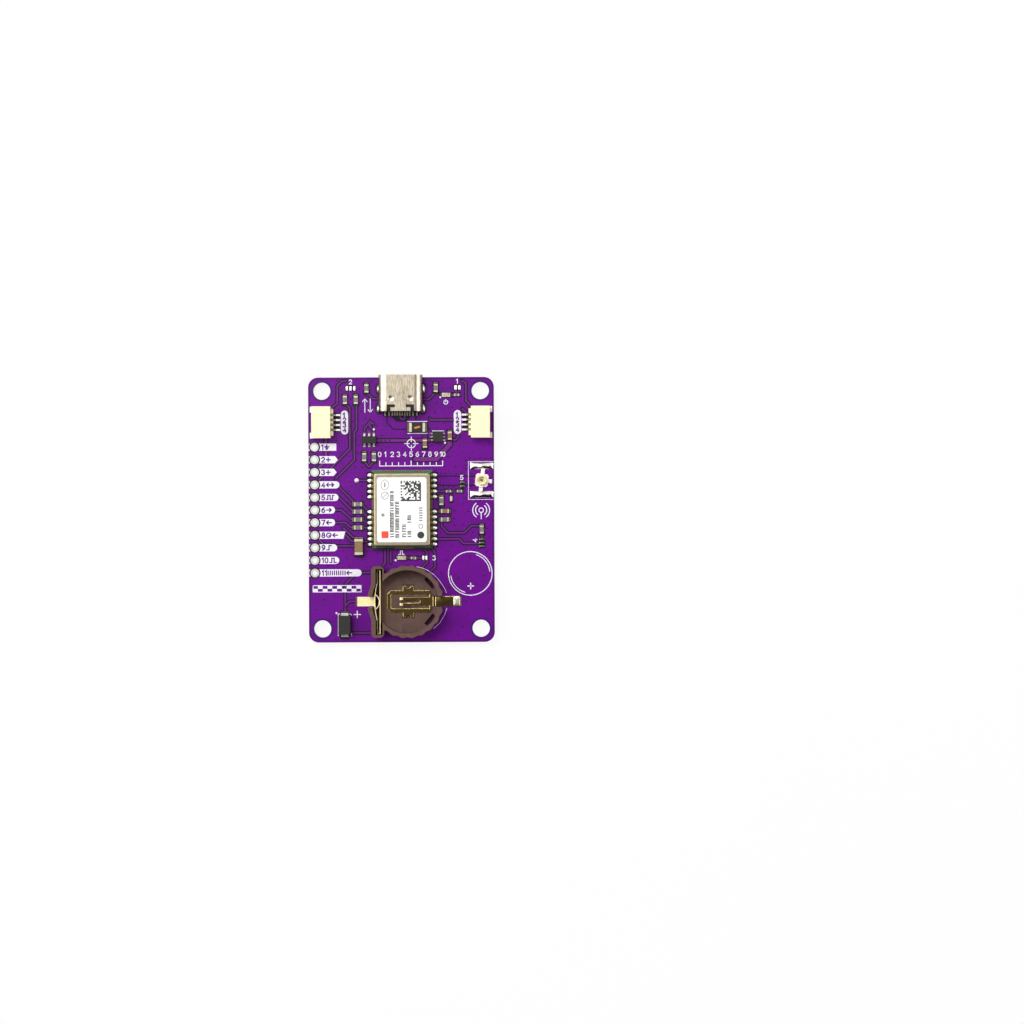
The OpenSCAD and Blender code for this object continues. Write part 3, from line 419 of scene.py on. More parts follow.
# Gold flash over spring bronze: polished, dark where it mirrors the dark above
GOLD = Metal("gold_flashed_spring_bronze", "#d8bc66", "#c2a650", 0.2, 0.04, mottle_mm=1.2, grain_mm=0.8,
             bump_mm=0.0015)
# The same flash painted dark brown on the ramp through the wall, as painted shade
RAMP_SHADE_GOLD = Metal("gold_flash_with_painted_ramp_shade", "#665530", "#4b3d22", 0.36, 0.06, mottle_mm=0.5, grain_mm=0.4,
                    bump_mm=0.002)
# The same flash on the soldered tab, satin, so it takes light from all round
SATIN_GOLD = Metal("satin_gold_flash", "#f6edc2", "#ebdfaa", 0.62, 0.08, mottle_mm=0.5, grain_mm=0.12)
# The same flash on the holder's base contact, painted darker as the shade of its wall
BASE_GOLD = Metal("gold_flash_with_painted_wall_shade", "#a88d52", "#8f7642", 0.2, 0.04, mottle_mm=1.2, grain_mm=0.8,
                  bump_mm=0.0015)
# Sheared edges of the same contact: polished, so only those that face the light shine
RIM_GOLD = Metal("polished_gold_edge", "#f8e6b0", "#e9d08c", 0.27, 0.04, mottle_mm=0.6, grain_mm=0.3,
                 bump_mm=0.001)
# Thin pale gold on the aerial socket: satin, close to cream
PALE_GOLD = Metal("thin_pale_gold_flash", "#fdefc8", "#eed9a4", 0.46, 0.08, mottle_mm=0.3, grain_mm=0.1)
# Bare copper strips on the receiver's board, dulled by heat
DULL_COPPER = Finish("heat_dulled_copper", "#7a5638", "#5f4029", 0.55, mottle_mm=0.3, grain_mm=0.1,
                     specular=0.3)
# Black epoxy moulding compound: matt, fine filler speckle
BLACK_MOULDING = Finish("black_epoxy_moulding_compound", "#2c2924", "#1f1c18", 0.68, 0.08, mottle_mm=0.12,
                        grain_mm=0.07, bump_mm=0.008, specular=0.35)
# Cream heat-proof nylon: satin, milky
CREAM = Finish("cream_moulded_nylon", "#fbf3cf", "#f3e8bd", 0.5, mottle_mm=0.5, grain_mm=0.12,
               bump_mm=0.005, specular=0.35)
# White liquid-crystal polymer of the aerial socket's base
WHITE_MOULDING = Finish("white_moulded_polymer", "#f4efe2", "#e6dfcd", 0.5, mottle_mm=0.3, grain_mm=0.1)
# Brown glass-filled moulding: satin, fine flow marks
BROWN = Finish("brown_glass_filled_moulding", "#63463d", "#523a32", 0.55, 0.08, mottle_mm=0.9,
               grain_mm=0.12, bump_mm=0.01, specular=0.4)
# Green mask of the receiver's own board
GREEN_MASK = Woven("green_solder_mask", "#4f7757", "#3c5e45", 0.4, bump_mm=0.004, specular=0.25)
# Dark green strips inside the receiver's edges: painted shade along its front edge, and between the half
# holes bare laminate darkened further by painted shade
EDGE_PAINTED_SHADE = Finish("dark_green_painted_shade_at_edges", "#2d3020", "#1f2216", 0.6, mottle_mm=0.3,
                       specular=0.2)
# Sawn edge of the receiver's board, greener than the carrier's
GREEN_EDGE = Plies("sawn_green_laminate_edge", "#6d7a3c", "#4d5a2c", 0.6, grain_mm=0.08, bump_mm=0.008)
# Coated white paper label: matt, faint fibre
PAPER = Finish("coated_white_paper", "#fbfbfa", "#f1f1ef", 0.62, mottle_mm=0.4, grain_mm=0.09)
# Thermal print on the label
BLACK_PRINT = Finish("black_thermal_print", "#242322", "#35322f", 0.6, mottle_mm=0.2)
GREY_PRINT = Finish("grey_thermal_print", "#8b8682", "#a09a95", 0.6, mottle_mm=0.2)
RED_PRINT = Finish("red_spot_print", "#ee3a20", "#f2563a", 0.5, mottle_mm=0.3)
ORANGE_PRINT = Finish("orange_pad_print", "#e08a3c", "#c26f2b", 0.55, mottle_mm=0.2)
# Dark glaze over a resistor's film, glassy; its colour is lifted to a mid grey as a painted sheen
GLAZE = Finish("resistor_glaze_with_painted_sheen", "#8a8a7d", "#5a5a51", 0.35, mottle_mm=0.3, grain_mm=0.3, bump_mm=0.03,
               coat=0.3)
# White alumina body under the glaze
ALUMINA = Finish("white_alumina", "#e2ded4", "#cfcabd", 0.6, mottle_mm=0.2)
# Fired barium titanate: small chips are brown, the large one tan
BROWN_CERAMIC = Finish("brown_fired_ceramic", "#8d6f43", "#745833", 0.5, mottle_mm=0.25, grain_mm=0.08)
TAN_CERAMIC = Finish("tan_fired_ceramic", "#8d704a", "#795e3a", 0.5, mottle_mm=0.4, grain_mm=0.1)
PALE_CERAMIC = Finish("pale_fired_ceramic", "#d8d2bd", "#c3bba3", 0.45, mottle_mm=0.25, grain_mm=0.08)
# Clear epoxy over the light chip: glossy, faintly yellow
CLEAR_EPOXY = Finish("clear_cast_epoxy", "#fff6de", "#fdeec9", 0.15, mottle_mm=0.4, clear=0.55, coat=0.3)


# Surfaces

@dataclass
class Surface:
    """Points in millimetres and the four-sided faces between them."""

    points: Array
    faces: Array

    @staticmethod
    def joined(surfaces: Sequence[Surface]) -> Surface:
        """Puts surfaces into one, with each face's numbers moved past the points before it."""
        counts = np.cumsum([0] + [len(s.points) for s in surfaces[:-1]])
        return Surface(np.vstack([s.points for s in surfaces]),
                       np.vstack([s.faces + n for s, n in zip(surfaces, counts)]))

    def repeated(self, places: Iterable[Point]) -> Surface:
        """Copies the surface to each place by adding every place to every point.

        Args:
            places: Offsets along X and Y.

        Returns:
            One surface with all the copies.
        """
        flat = np.array(list(places), float).reshape(-1, 2)
        offsets = np.column_stack([flat, np.zeros(len(flat))])
        points = (offsets[:, None, :] + self.points[None]).reshape(-1, 3)
        steps = np.arange(len(flat))[:, None, None] * len(self.points)
        return Surface(points, (self.faces[None] + steps).reshape(-1, 4))

    def mesh(self, name: str, smooth: bool) -> bpy.types.Mesh:
        """Makes the mesh in metres, with poles merged and faces turned outwards.

        Args:
            name: Name of the mesh.
            smooth: Whether its faces shade into each other.

        Returns:
            The new mesh.
        """
        mesh = bpy.data.meshes.new(name)
        mesh.from_pydata((self.points * MM).tolist(), [], self.faces.tolist())
        work = bmesh.new()
        work.from_mesh(mesh)
        bmesh.ops.remove_doubles(work, verts=work.verts, dist=MERGE)
        bmesh.ops.dissolve_degenerate(work, edges=work.edges, dist=MERGE / 10)
        bmesh.ops.recalc_face_normals(work, faces=work.faces)
        work.to_mesh(mesh)
        work.free()
        mesh.polygons.foreach_set("use_smooth", np.full(len(mesh.polygons), smooth))
        return mesh


def grid_faces(rows: int, cols: int, round_rows: bool = False, round_cols: bool = False) -> Array:
    """Joins neighbouring points of a grid by quads.

    Args:
        rows: Number of rows.
        cols: Number of points in a row.
        round_rows: Whether the last row joins the first.
        round_cols: Whether the last point of a row joins its first.

    Returns:
        Four point numbers for each face.
    """
    i, j = np.meshgrid(np.arange(rows - (not round_rows)), np.arange(cols - (not round_cols)), indexing="ij")
    k, m = (i + 1) % rows, (j + 1) % cols
    return np.stack([i * cols + j, k * cols + j, k * cols + m, i * cols + m], -1).reshape(-1, 4)


def line(*points: Point) -> Array:
    """Path through the given points."""
    return np.array(points, float)


def arc(x: float, y: float, rx: float, ry: float, start: float, end: float, step: float = 15.0) -> Array:
    """Path along an ellipse: centre plus (rx cos a, ry sin a), with a from start to end in degrees."""
    a = np.radians(np.linspace(start, end, max(3, math.ceil(abs(end - start) / step) + 1)))
    return np.stack([x + rx * np.cos(a), y + ry * np.sin(a)], -1)


def ring_path(x: float, y: float, r: float, count: int = 48) -> Array:
    """Closed circle (x + r cos a, y + r sin a), without repeating its first point."""
    a = np.linspace(0, 2 * math.pi, count, endpoint=False)
    return np.stack([x + r * np.cos(a), y + r * np.sin(a)], -1)


def stroke(path: Array, width: float, low: float, high: float, closed: bool = False) -> Surface:
    """Low trapezoid profile carried along a flat path, as a printed line or a copper track.

    The cross line at a corner is the mitre (n1 + n2) / (1 + n1.n2) of the two normals. Past an open end the
    centre runs on by r sin t and the half width falls as r cos t, so the ends are half discs.

    Args:
        path: Points of the centre line.
        width: Width of the line.
        low: Height of its underside.
        high: Height of its top.
        closed: Whether the path goes round.

    Returns:
        A closed surface.
    """
    r = width / 2
    ahead = np.roll(path, -1, 0) - path if closed else np.diff(path, axis=0)
    ahead = ahead / np.linalg.norm(ahead, axis=1, keepdims=True)
    before = np.roll(ahead, 1, 0) if closed else np.vstack([ahead[:1], ahead])
    after = ahead if closed else np.vstack([ahead, ahead[-1:]])
    turn = np.array([[0.0, 1.0], [-1.0, 0.0]])
    n1, n2 = before @ turn, after @ turn
    cross = (n1 + n2) / np.maximum(1 + (n1 * n2).sum(1, keepdims=True), MITRE_LEAST) * r
    centre = path
    if not closed:
        t = np.linspace(0, math.pi / 2, 5)[1:, None]
        first, last = ahead[0] * r * np.sin(t[::-1]), ahead[-1] * r * np.sin(t)
        centre = np.vstack([path[0] - first, path, path[-1] + last])
        cross = np.vstack([cross[0] * np.cos(t[::-1]), cross, cross[-1] * np.cos(t)])
    across = np.array([-1.0, -SHOULDER, SHOULDER, 1.0])
    flat = centre[:, None, :] + cross[:, None, :] * across[:, None]
    level = np.broadcast_to(np.array([low, high, high, low]), flat.shape[:2])
    points = np.concatenate([flat, level[..., None]], -1).reshape(-1, 3)
    return Surface(points, grid_faces(len(centre), 4, closed, True))


def slab(plan: Array, low: float, high: float) -> Surface:
    """Closes a grid of plan points into a flat plate: the grid at two heights, and walls round its rim.

    Args:
        plan: Grid of x, y points, rows by columns.
        low: Height of the underside.
        high: Height of the top.

    Returns:
        A closed surface.
    """
    rows, cols = plan.shape[:2]
    count = rows * cols
    flat = plan.reshape(-1, 2)
    points = np.vstack([np.column_stack([flat, np.full(count, z)]) for z in (high, low)])
    number = np.arange(count).reshape(rows, cols)
    rim = np.concatenate([number[0, :-1], number[:-1, -1], number[-1, :0:-1], number[:0:-1, 0]])
    after = np.roll(rim, -1)
    walls = np.stack([rim, after, after + count, rim + count], -1)
    top = grid_faces(rows, cols)
    return Surface(points, np.vstack([top, top[:, ::-1] + count, walls]))


def block(x0: float, y0: float, x1: float, y1: float, low: float, high: float) -> Surface:
    """Flat rectangular plate between two corners: a grid of the four corners."""
    return slab(np.array([[[x0, y0], [x0, y1]], [[x1, y0], [x1, y1]]], float), low, high)


def turned(half_x: float, half_y: float, square: float, sides: int, v: Array, z: Array) -> Surface:
    """Profile carried round the origin: row i is the rim shrunk by v[i] at the height z[i].

    The rim is the superellipse (hx |cos a|^(2/square), hy |sin a|^(2/square)). The first and last rows have
    v = 0, so they are the closed middles of the top and of the underside.

    Args:
        half_x: Half width.
        half_y: Half length.
        square: 2 for an ellipse, more for a rounded rectangle.
        sides: Points round the rim.
        v: Share of the rim for each row.
        z: Height of each row.

    Returns:
        A closed surface.
    """
    a = np.linspace(0, 2 * math.pi, sides, endpoint=False)
    rim = np.stack([half * np.sign(f(a)) * np.abs(f(a)) ** (2 / square)
                    for half, f in ((half_x, np.cos), (half_y, np.sin))], -1)
    flat = rim[None] * np.asarray(v)[:, None, None]
    level = np.broadcast_to(np.asarray(z)[:, None], flat.shape[:2])
    points = np.concatenate([flat, level[..., None]], -1).reshape(-1, 3)
    return Surface(points, grid_faces(len(v), sides, False, True))


def pool(half_x: float, half_y: float, low: float, high: float, square: float = 2.0,
         crown: float = 2.0) -> Surface:
    """Bead of solder: from the rim inwards the height rises as low + (high - low) (1 - v^crown).

    Args:
        half_x: Half width.
        half_y: Half length.
        low: Height of the rim.
        high: Height of the middle.
        square: 2 for an ellipse, more for a rounded rectangle.
        crown: 2 for a round top, more for a flat one with steep sides.

    Returns:
        A closed surface.
    """
    v = np.append(np.sin(np.linspace(0, math.pi / 2, 6)), 0.0)
    z = low + (high - low) * (1 - v ** crown)
    z[-1] = low
    return turned(half_x, half_y, square, 32, v, z)


def spot(half_x: float, half_y: float, low: float, high: float, square: float = 2.0,
         sides: int = 32) -> Surface:
    """Flat spot with an upright rim: its profile runs out along the top, down the rim and back below."""
    v, z = np.array([0.0, 1.0, 1.0, 0.0]), np.array([high, high, low, low])
    return turned(half_x, half_y, square, sides, v, z)


# Marks drawn with a round pen, one unit high, from plain lines and arcs

GLYPHS: dict[str, tuple[Array, ...]] = {
    "0": (arc(0.3, 0.5, 0.3, 0.5, 90, 450),),
    "1": (line((0.05, 0.78), (0.3, 1), (0.3, 0)),),
    "2": (np.vstack([arc(0.3, 0.7, 0.3, 0.3, 165, -40), line((0, 0), (0.6, 0))]),),
    "3": (np.vstack([arc(0.28, 0.76, 0.26, 0.24, 150, -90), arc(0.28, 0.26, 0.31, 0.26, 88, -150)]),),
    "4": (line((0.46, 0), (0.46, 1), (0, 0.3), (0.64, 0.3)),),
    "5": (np.vstack([line((0.56, 1), (0.1, 1), (0.05, 0.52)), arc(0.28, 0.31, 0.31, 0.31, 120, -150)]),),
    "6": (arc(0.3, 0.3, 0.3, 0.3, 90, 450), arc(0.66, 0.3, 0.66, 0.7, 180, 105)),
    "7": (line((0, 1), (0.6, 1), (0.2, 0)),),
    "8": (arc(0.3, 0.76, 0.24, 0.24, 270, -90), arc(0.3, 0.26, 0.3, 0.26, 90, 450)),
    "9": (arc(0.3, 0.7, 0.3, 0.3, 90, 450), arc(-0.06, 0.7, 0.66, 0.7, 0, -75)),
    "ground": (line((0.45, 1), (0.45, 0.58)), line((0, 0.58), (0.9, 0.58)), line((0.17, 0.3), (0.73, 0.3)),
               line((0.34, 0.03), (0.56, 0.03))),
    "plus": (line((0, 0.5), (0.8, 0.5)), line((0.4, 0.1), (0.4, 0.9))),
    "out": (line((0, 0.5), (1, 0.5)), line((0.62, 0.88), (1, 0.5), (0.62, 0.12))),
    "in": (line((0, 0.5), (1, 0.5)), line((0.38, 0.88), (0, 0.5), (0.38, 0.12))),
    "both": (line((0, 0.5), (1.5, 0.5)), line((0.36, 0.86), (0, 0.5), (0.36, 0.14)),
             line((1.14, 0.86), (1.5, 0.5), (1.14, 0.14))),
    "clock": (line((0, 0.06), (0.3, 0.06), (0.3, 0.94), (0.8, 0.94), (0.8, 0.06), (1.3, 0.06), (1.3, 0.94),
                   (1.6, 0.94)),),
    "pulse": (line((0, 0.06), (0.45, 0.06), (0.45, 0.94), (0.95, 0.94), (0.95, 0.06), (1.4, 0.06)),),
    "edge": (line((0, 0.06), (0.5, 0.06), (0.5, 0.94), (1, 0.94)),),
    "turn": (arc(0.48, 0.5, 0.45, 0.45, 30, 330), line((0.98, 0.62), (0.87, 0.3), (0.56, 0.4))),
    "power": (arc(0.45, 0.42, 0.42, 0.42, 125, 415), line((0.45, 1), (0.45, 0.5))),
    "ticks": tuple(line((0.45 * i, 0.1), (0.45 * i, 0.9)) for i in range(9)),
}


def write(marks: Sequence[str], x: float, y: float, height: float, turn: float = 0.0,
          space: float = 0.38) -> list[Array]:
    """Lays marks in a row from a starting point on their middle line.

    Args:
        marks: Names in GLYPHS.
        x: Start of the row.
        y: Middle of the row's height.
        height: Height of a mark.
        turn: Angle of the row in degrees.
        space: Gap between marks, in heights.

    Returns:
        One path for each pen stroke.
    """
    a = math.radians(turn)
    rotate = np.array([[math.cos(a), math.sin(a)], [-math.sin(a), math.cos(a)]])
    paths, start = [], 0.0
    for mark in marks:
        parts = GLYPHS[mark]
        left = min(p[:, 0].min() for p in parts)
        paths += [((p + (start - left, -0.5)) * height) @ rotate + (x, y) for p in parts]
        start += max(p[:, 0].max() for p in parts) - left + space
    return paths


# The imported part

class Layer(float, Enum):
    """Height of each thin layer over the board's top face. Gaps that may meet lie a hair apart."""

    GAP = 0.006
    TRACK_END_GAP = 0.0062
    CHIP_GAP = 0.0063
    POUR_GAP = 0.0066
    EDGE_GAP = 0.0067
    HOLE_GAP = 0.00671
    CONTACT_GAP = 0.0069
    PAD_GAP = 0.007
    TAIL_GAP = 0.0075
    LEG_GAP = 0.008
    WINDOW_SHADE = 0.009
    RECEIVER_GAP = 0.01
    TRACK = 0.014
    VIA = 0.018
    INK = 0.024
    INK_FIELD = 0.0241
    INK_CHECK = 0.026
    MARK = 0.032


@dataclass
class Part:
    """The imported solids, and the calls that dress them and add pieces to them."""

    nodes: dict[str, bpy.types.Object]
    boxes: dict[str, Array] = field(default_factory=dict)

    def box(self, node: str) -> Array:
        """Lowest and highest corner of a node, in millimetres, worked out once for each node."""
        if node not in self.boxes:
            self.boxes[node] = np.array(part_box(node)) / MM
        return self.boxes[node]

    def top(self, node: str) -> float:
        """Height of a node's top."""
        return float(self.box(node)[1][2])

    def over(self, height: float, node: str = "circuit_board") -> tuple[float, float]:
        """Heights of the underside and the top of something thin that lies on a node."""
        top = self.top(node)
        return top - SINK, top + height

    def patch(self, height: float) -> tuple[float, float]:
        """Heights of the underside and the top of a patch on the board that is as thick as a sunk gap."""
        top = self.top("circuit_board") + height
        return top - Layer.GAP - SINK, top

    def dress(self, node: str, *finishes: Finish, choose: FaceRule | None = None) -> None:
        """Gives a node its finishes.

        Args:
            node: Name of the node.
            finishes: One finish for each material slot.
            choose: Takes the faces' centres in millimetres and their normals, and gives their slot numbers.
        """
        mesh = self.nodes[node].data
        mesh.materials.clear()
        for finish in finishes:
            mesh.materials.append(finish.material())
        if choose:
            centres = np.empty(len(mesh.polygons) * 3, np.float32)
            normals = np.empty_like(centres)
            mesh.polygons.foreach_get("center", centres)
            mesh.polygons.foreach_get("normal", normals)
            slots = choose(centres.reshape(-1, 3) / MM, normals.reshape(-1, 3))
            mesh.polygons.foreach_set("material_index", np.asarray(slots, np.int32))
        LOG.info("dressed %s in %s", node, ", ".join(f.name for f in finishes))

    def soften(self, node: str, name: str, width: float, slot: str, rim: int = -1) -> None:
        """Stands a copy with rounded edges in place of a dressed node, so that its edges catch the light.

        Args:
            node: Name of the node.
            name: Name of the copy.
            width: Width of the rounding.
            slot: Slot of the finish; not used.
            rim: Number of the finish on the rounded edges, or -1 for that of the faces beside them.
        """
        mesh = self.nodes[node].data.copy()
        work = bmesh.new()
        work.from_mesh(mesh)
        bmesh.ops.remove_doubles(work, verts=work.verts, dist=COPY_MERGE)
        bmesh.ops.dissolve_limit(work, angle_limit=math.radians(FLAT_ANGLE), verts=work.verts,
                                 edges=work.edges, delimit={"MATERIAL"})
        work.to_mesh(mesh)
        work.free()
        mesh.polygons.foreach_set("use_smooth", np.full(len(mesh.polygons), True))
        mesh.set_sharp_from_angle(angle=math.radians(SMOOTH_ANGLE))
        obj = new_object(name, mesh)
        bevel = obj.modifiers.new("rounded_edges", "BEVEL")
        bevel.width, bevel.segments, bevel.limit_method = width * MM, 2, "ANGLE"
        bevel.angle_limit, bevel.harden_normals, bevel.material = math.radians(EDGE_ANGLE), True, rim
        bevel.use_clamp_overlap = False
        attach(obj, "root")
        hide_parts(node)
        LOG.info("rounded the edges of %s by %.2f mm", node, width)

    def add(self, name: str, surfaces: Sequence[Surface], finish: Finish, slot: str, smooth: bool = False,
            replaces: Sequence[str] = ()) -> None:
        """Makes one piece of several surfaces and ties it to the part.

        Args:
            name: Name of the piece.
            surfaces: What it is made of.
            finish: Its finish.
            slot: Slot of the finish; not used.
            smooth: Whether its faces shade into each other.
            replaces: Nodes that it stands for.
        """
        obj = new_object(name, Surface.joined(surfaces).mesh(name, smooth))
        obj.data.materials.append(finish.material())
        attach(obj, "root")
        if replaces:
            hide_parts(*replaces)
        LOG.info("added %s with %d faces", name, len(obj.data.polygons))


# Circuit board

@dataclass
class CircuitBoard:
    """Board, its copper tracks, gaps and via holes, and the bare tinned pads.

    Pads are given by their half sizes and places, and the test pad by its place, radius and height. Wide
    routes are given by their number and width; the others are as wide as track.
    """

    part: Part
    corner_r: float = 2.0
    hole_d: float = 3.5
    hole_clear_d: float = 4.5
    hole_place: Point = (16.0, 24.0)
    edge_inset: float = 0.32
    edge_line: float = 0.14
    pin_count: int = 11
    pin_clear_r: float = 1.0
    pin_clear_w: float = 0.32
    gap: float = 0.3
    track: float = 0.3
    via_d: float = 0.32
    track_end_r: float = 0.34
    pad_clear: float = 0.16
    pad_h: float = 0.09
    dull_pad_h: float = 0.05
    test_pad: tuple[float, float, float, float] = (-9.0, 5.95, 0.45, 0.16)
    chip_clear: float = 0.2
    small_clear: float = 0.31
    pad_start: float = 0.42
    short_reach: float = 0.42
    long_reach: float = 0.55
    long_half: float = 0.6
    foot_shift: float = 0.7
    foot_half: float = 0.75
    foot_clear: float = 0.25
    large_chips: tuple[str, ...] = (
        "fuse", "bulk_capacitor", "inductor", "power_led", "signal_led", "diode_leads")
    bright_pads: tuple[tuple[float, float, Path], ...] = (
        (0.25, 0.5, ((-10.9, 24.5), (-10.15, 24.5), (-9.4, 24.5))),
        (0.275, 0.5, ((11.05, 24.6), (11.8, 24.6))),
        (0.21, 0.475, ((4.4, -9.75), (5.0, -9.75))),
    )
    dull_pads: tuple[tuple[float, float, Path], ...] = (
        (0.6, 0.24, ((16.2, -7.5), (16.2, -6.8), (16.2, -6.1))),
        (0.5, 0.25, ((12.3, 5.45), (12.3, 4.65))),
    )
    track_ends: Path = (
        (-13.3, 6.35), (-5.6, 17.35), (5.75, 18.5), (12.35, 20.4), (-6.5, 8.55), (-11.75, -3.6),
        (-2.2, -10.75), (-9.0, 5.95))
    pour_edges: tuple[Path, ...] = (
        ((-2.85, 19.2), (-2.85, 17.6), (-1.55, 16.25), (1.3, 16.25)),
        ((3.0, 19.0), (3.0, 17.9)),
        ((5.35, 17.8), (5.4, 16.6), (6.2, 15.75)),
        ((4.25, 15.3), (4.25, 14.45)),
        ((5.3, 15.3), (5.3, 14.45)),
        ((7.1, 6.4), (7.75, 6.75), (15.0, 6.75)),
        ((7.1, 5.3), (7.75, 4.9), (14.9, 4.9)),
    )
    wide_routes: dict[int, float] = field(default_factory=lambda: {3: 0.55, 8: 0.55, 10: 0.9})
    routes: tuple[Path, ...] = (
        ((-11.1, 26.1), (-11.95, 25.95), (-12.85, 25.05), (-12.85, 21.6), (-14.0, 20.5)),
        ((-11.05, 21.3), (-10.35, 20.55), (-10.35, 12.35), (-17.2, 5.5)),
        ((-9.0, 21.3), (-9.0, 16.3), (-9.45, 15.7), (-9.45, 10.1), (-13.2, 6.35)),
        ((-15.2, 14.6), (-15.2, 10.0), (-17.2, 8.0)), ((-6.85, 23.5), (-5.65, 22.45), (-4.5, 22.45)),
        ((6.95, 23.6), (5.6, 22.25), (4.5, 22.25)),
        ((-7.4, 16.0), (-7.4, 16.4), (-6.2, 17.85), (-5.6, 17.35)),
        ((-5.5, 16.0), (-6.45, 17.0), (-6.1, 17.35)), ((-5.2, 14.0), (6.3, 14.0)),
        ((5.75, 18.45), (6.05, 18.1), (10.7, 18.1)), ((9.8, 13.6), (9.8, 13.1), (7.2, 10.2), (2.9, 10.2)),
        ((10.3, 14.05), (11.05, 14.05), (11.6, 14.8), (11.6, 15.4)),
        ((12.35, 26.0), (13.1, 25.5), (13.1, 21.95), (14.3, 20.75)), ((12.4, 20.35), (13.3, 19.4)),
        ((-7.35, 9.7), (-6.6, 8.7)), ((-5.6, 9.7), (-6.4, 8.7)), ((-12.8, 4.85), (-9.8, 1.85), (-9.6, 1.3)),
        ((-12.8, 2.75), (-9.9, -0.1), (-9.6, -0.3)), ((-13.5, 0), (-12.1, 0), (-10.2, -1.8), (-9.6, -1.95)),
        ((-13.5, -2.54), (-11.35, -2.54), (-10.3, -3.5), (-9.6, -3.55)), ((-7.9, 1.0), (-6.9, 0.0)),
        ((-7.9, -0.4), (-6.9, -1.4)), ((-7.9, -2.0), (-6.9, -2.6)), ((-7.9, -3.6), (-6.9, -3.6)),
        ((-9.0, 5.95), (-6.9, 5.95)), ((-11.75, -3.65), (-11.3, -4.1), (-9.8, -5.55), (-9.0, -5.6)),
        ((-11.4, -4.9), (-10.1, -6.3), (-7.0, -6.4)), ((-13.0, -7.25), (-9.3, -7.25)),
        ((-17.2, -5.4), (-15.75, -6.85), (-13.5, -7.1)), ((-8.1, -12.65), (-6.0, -12.65)),
        ((-9.8, -13.4), (-11.42, -15.05), (-11.42, -20.4)),
        ((-11.35, -19.5), (-10.95, -18.75), (-10.4, -18.45), (-9.0, -18.45)),
        ((-10.1, -24.85), (-6.0, -24.85)), ((-3.35, -8.0), (-3.35, -10.8), (-3.9, -11.4)),
        ((-2.2, -8.0), (-2.2, -10.7)), ((4.45, -7.9), (5.2, -8.65), (5.2, -10.6), (4.1, -11.7)),
        ((6.0, -7.8), (6.75, -8.6), (6.75, -11.6), (6.0, -12.3)), ((6.9, 3.7), (9.2, 3.7)),
        ((6.9, 2.6), (8.1, 2.6)), ((6.9, -0.4), (8.0, -0.4)),
        ((8.1, -2.4), (8.1, -3.4), (9.4, -4.72), (12.7, -4.72), (14.15, -3.3), (15.8, -3.3)),
        ((6.9, -5.92), (11.6, -5.92), (12.5, -6.85), (15.5, -6.85)), ((16.2, -4.9), (16.2, -6.0)),
        ((10.0, 23.15), (10.8, 23.15)), ((0.7, -9.72), (2.0, -9.72)), ((2.9, -9.75), (4.3, -9.75)),
    )
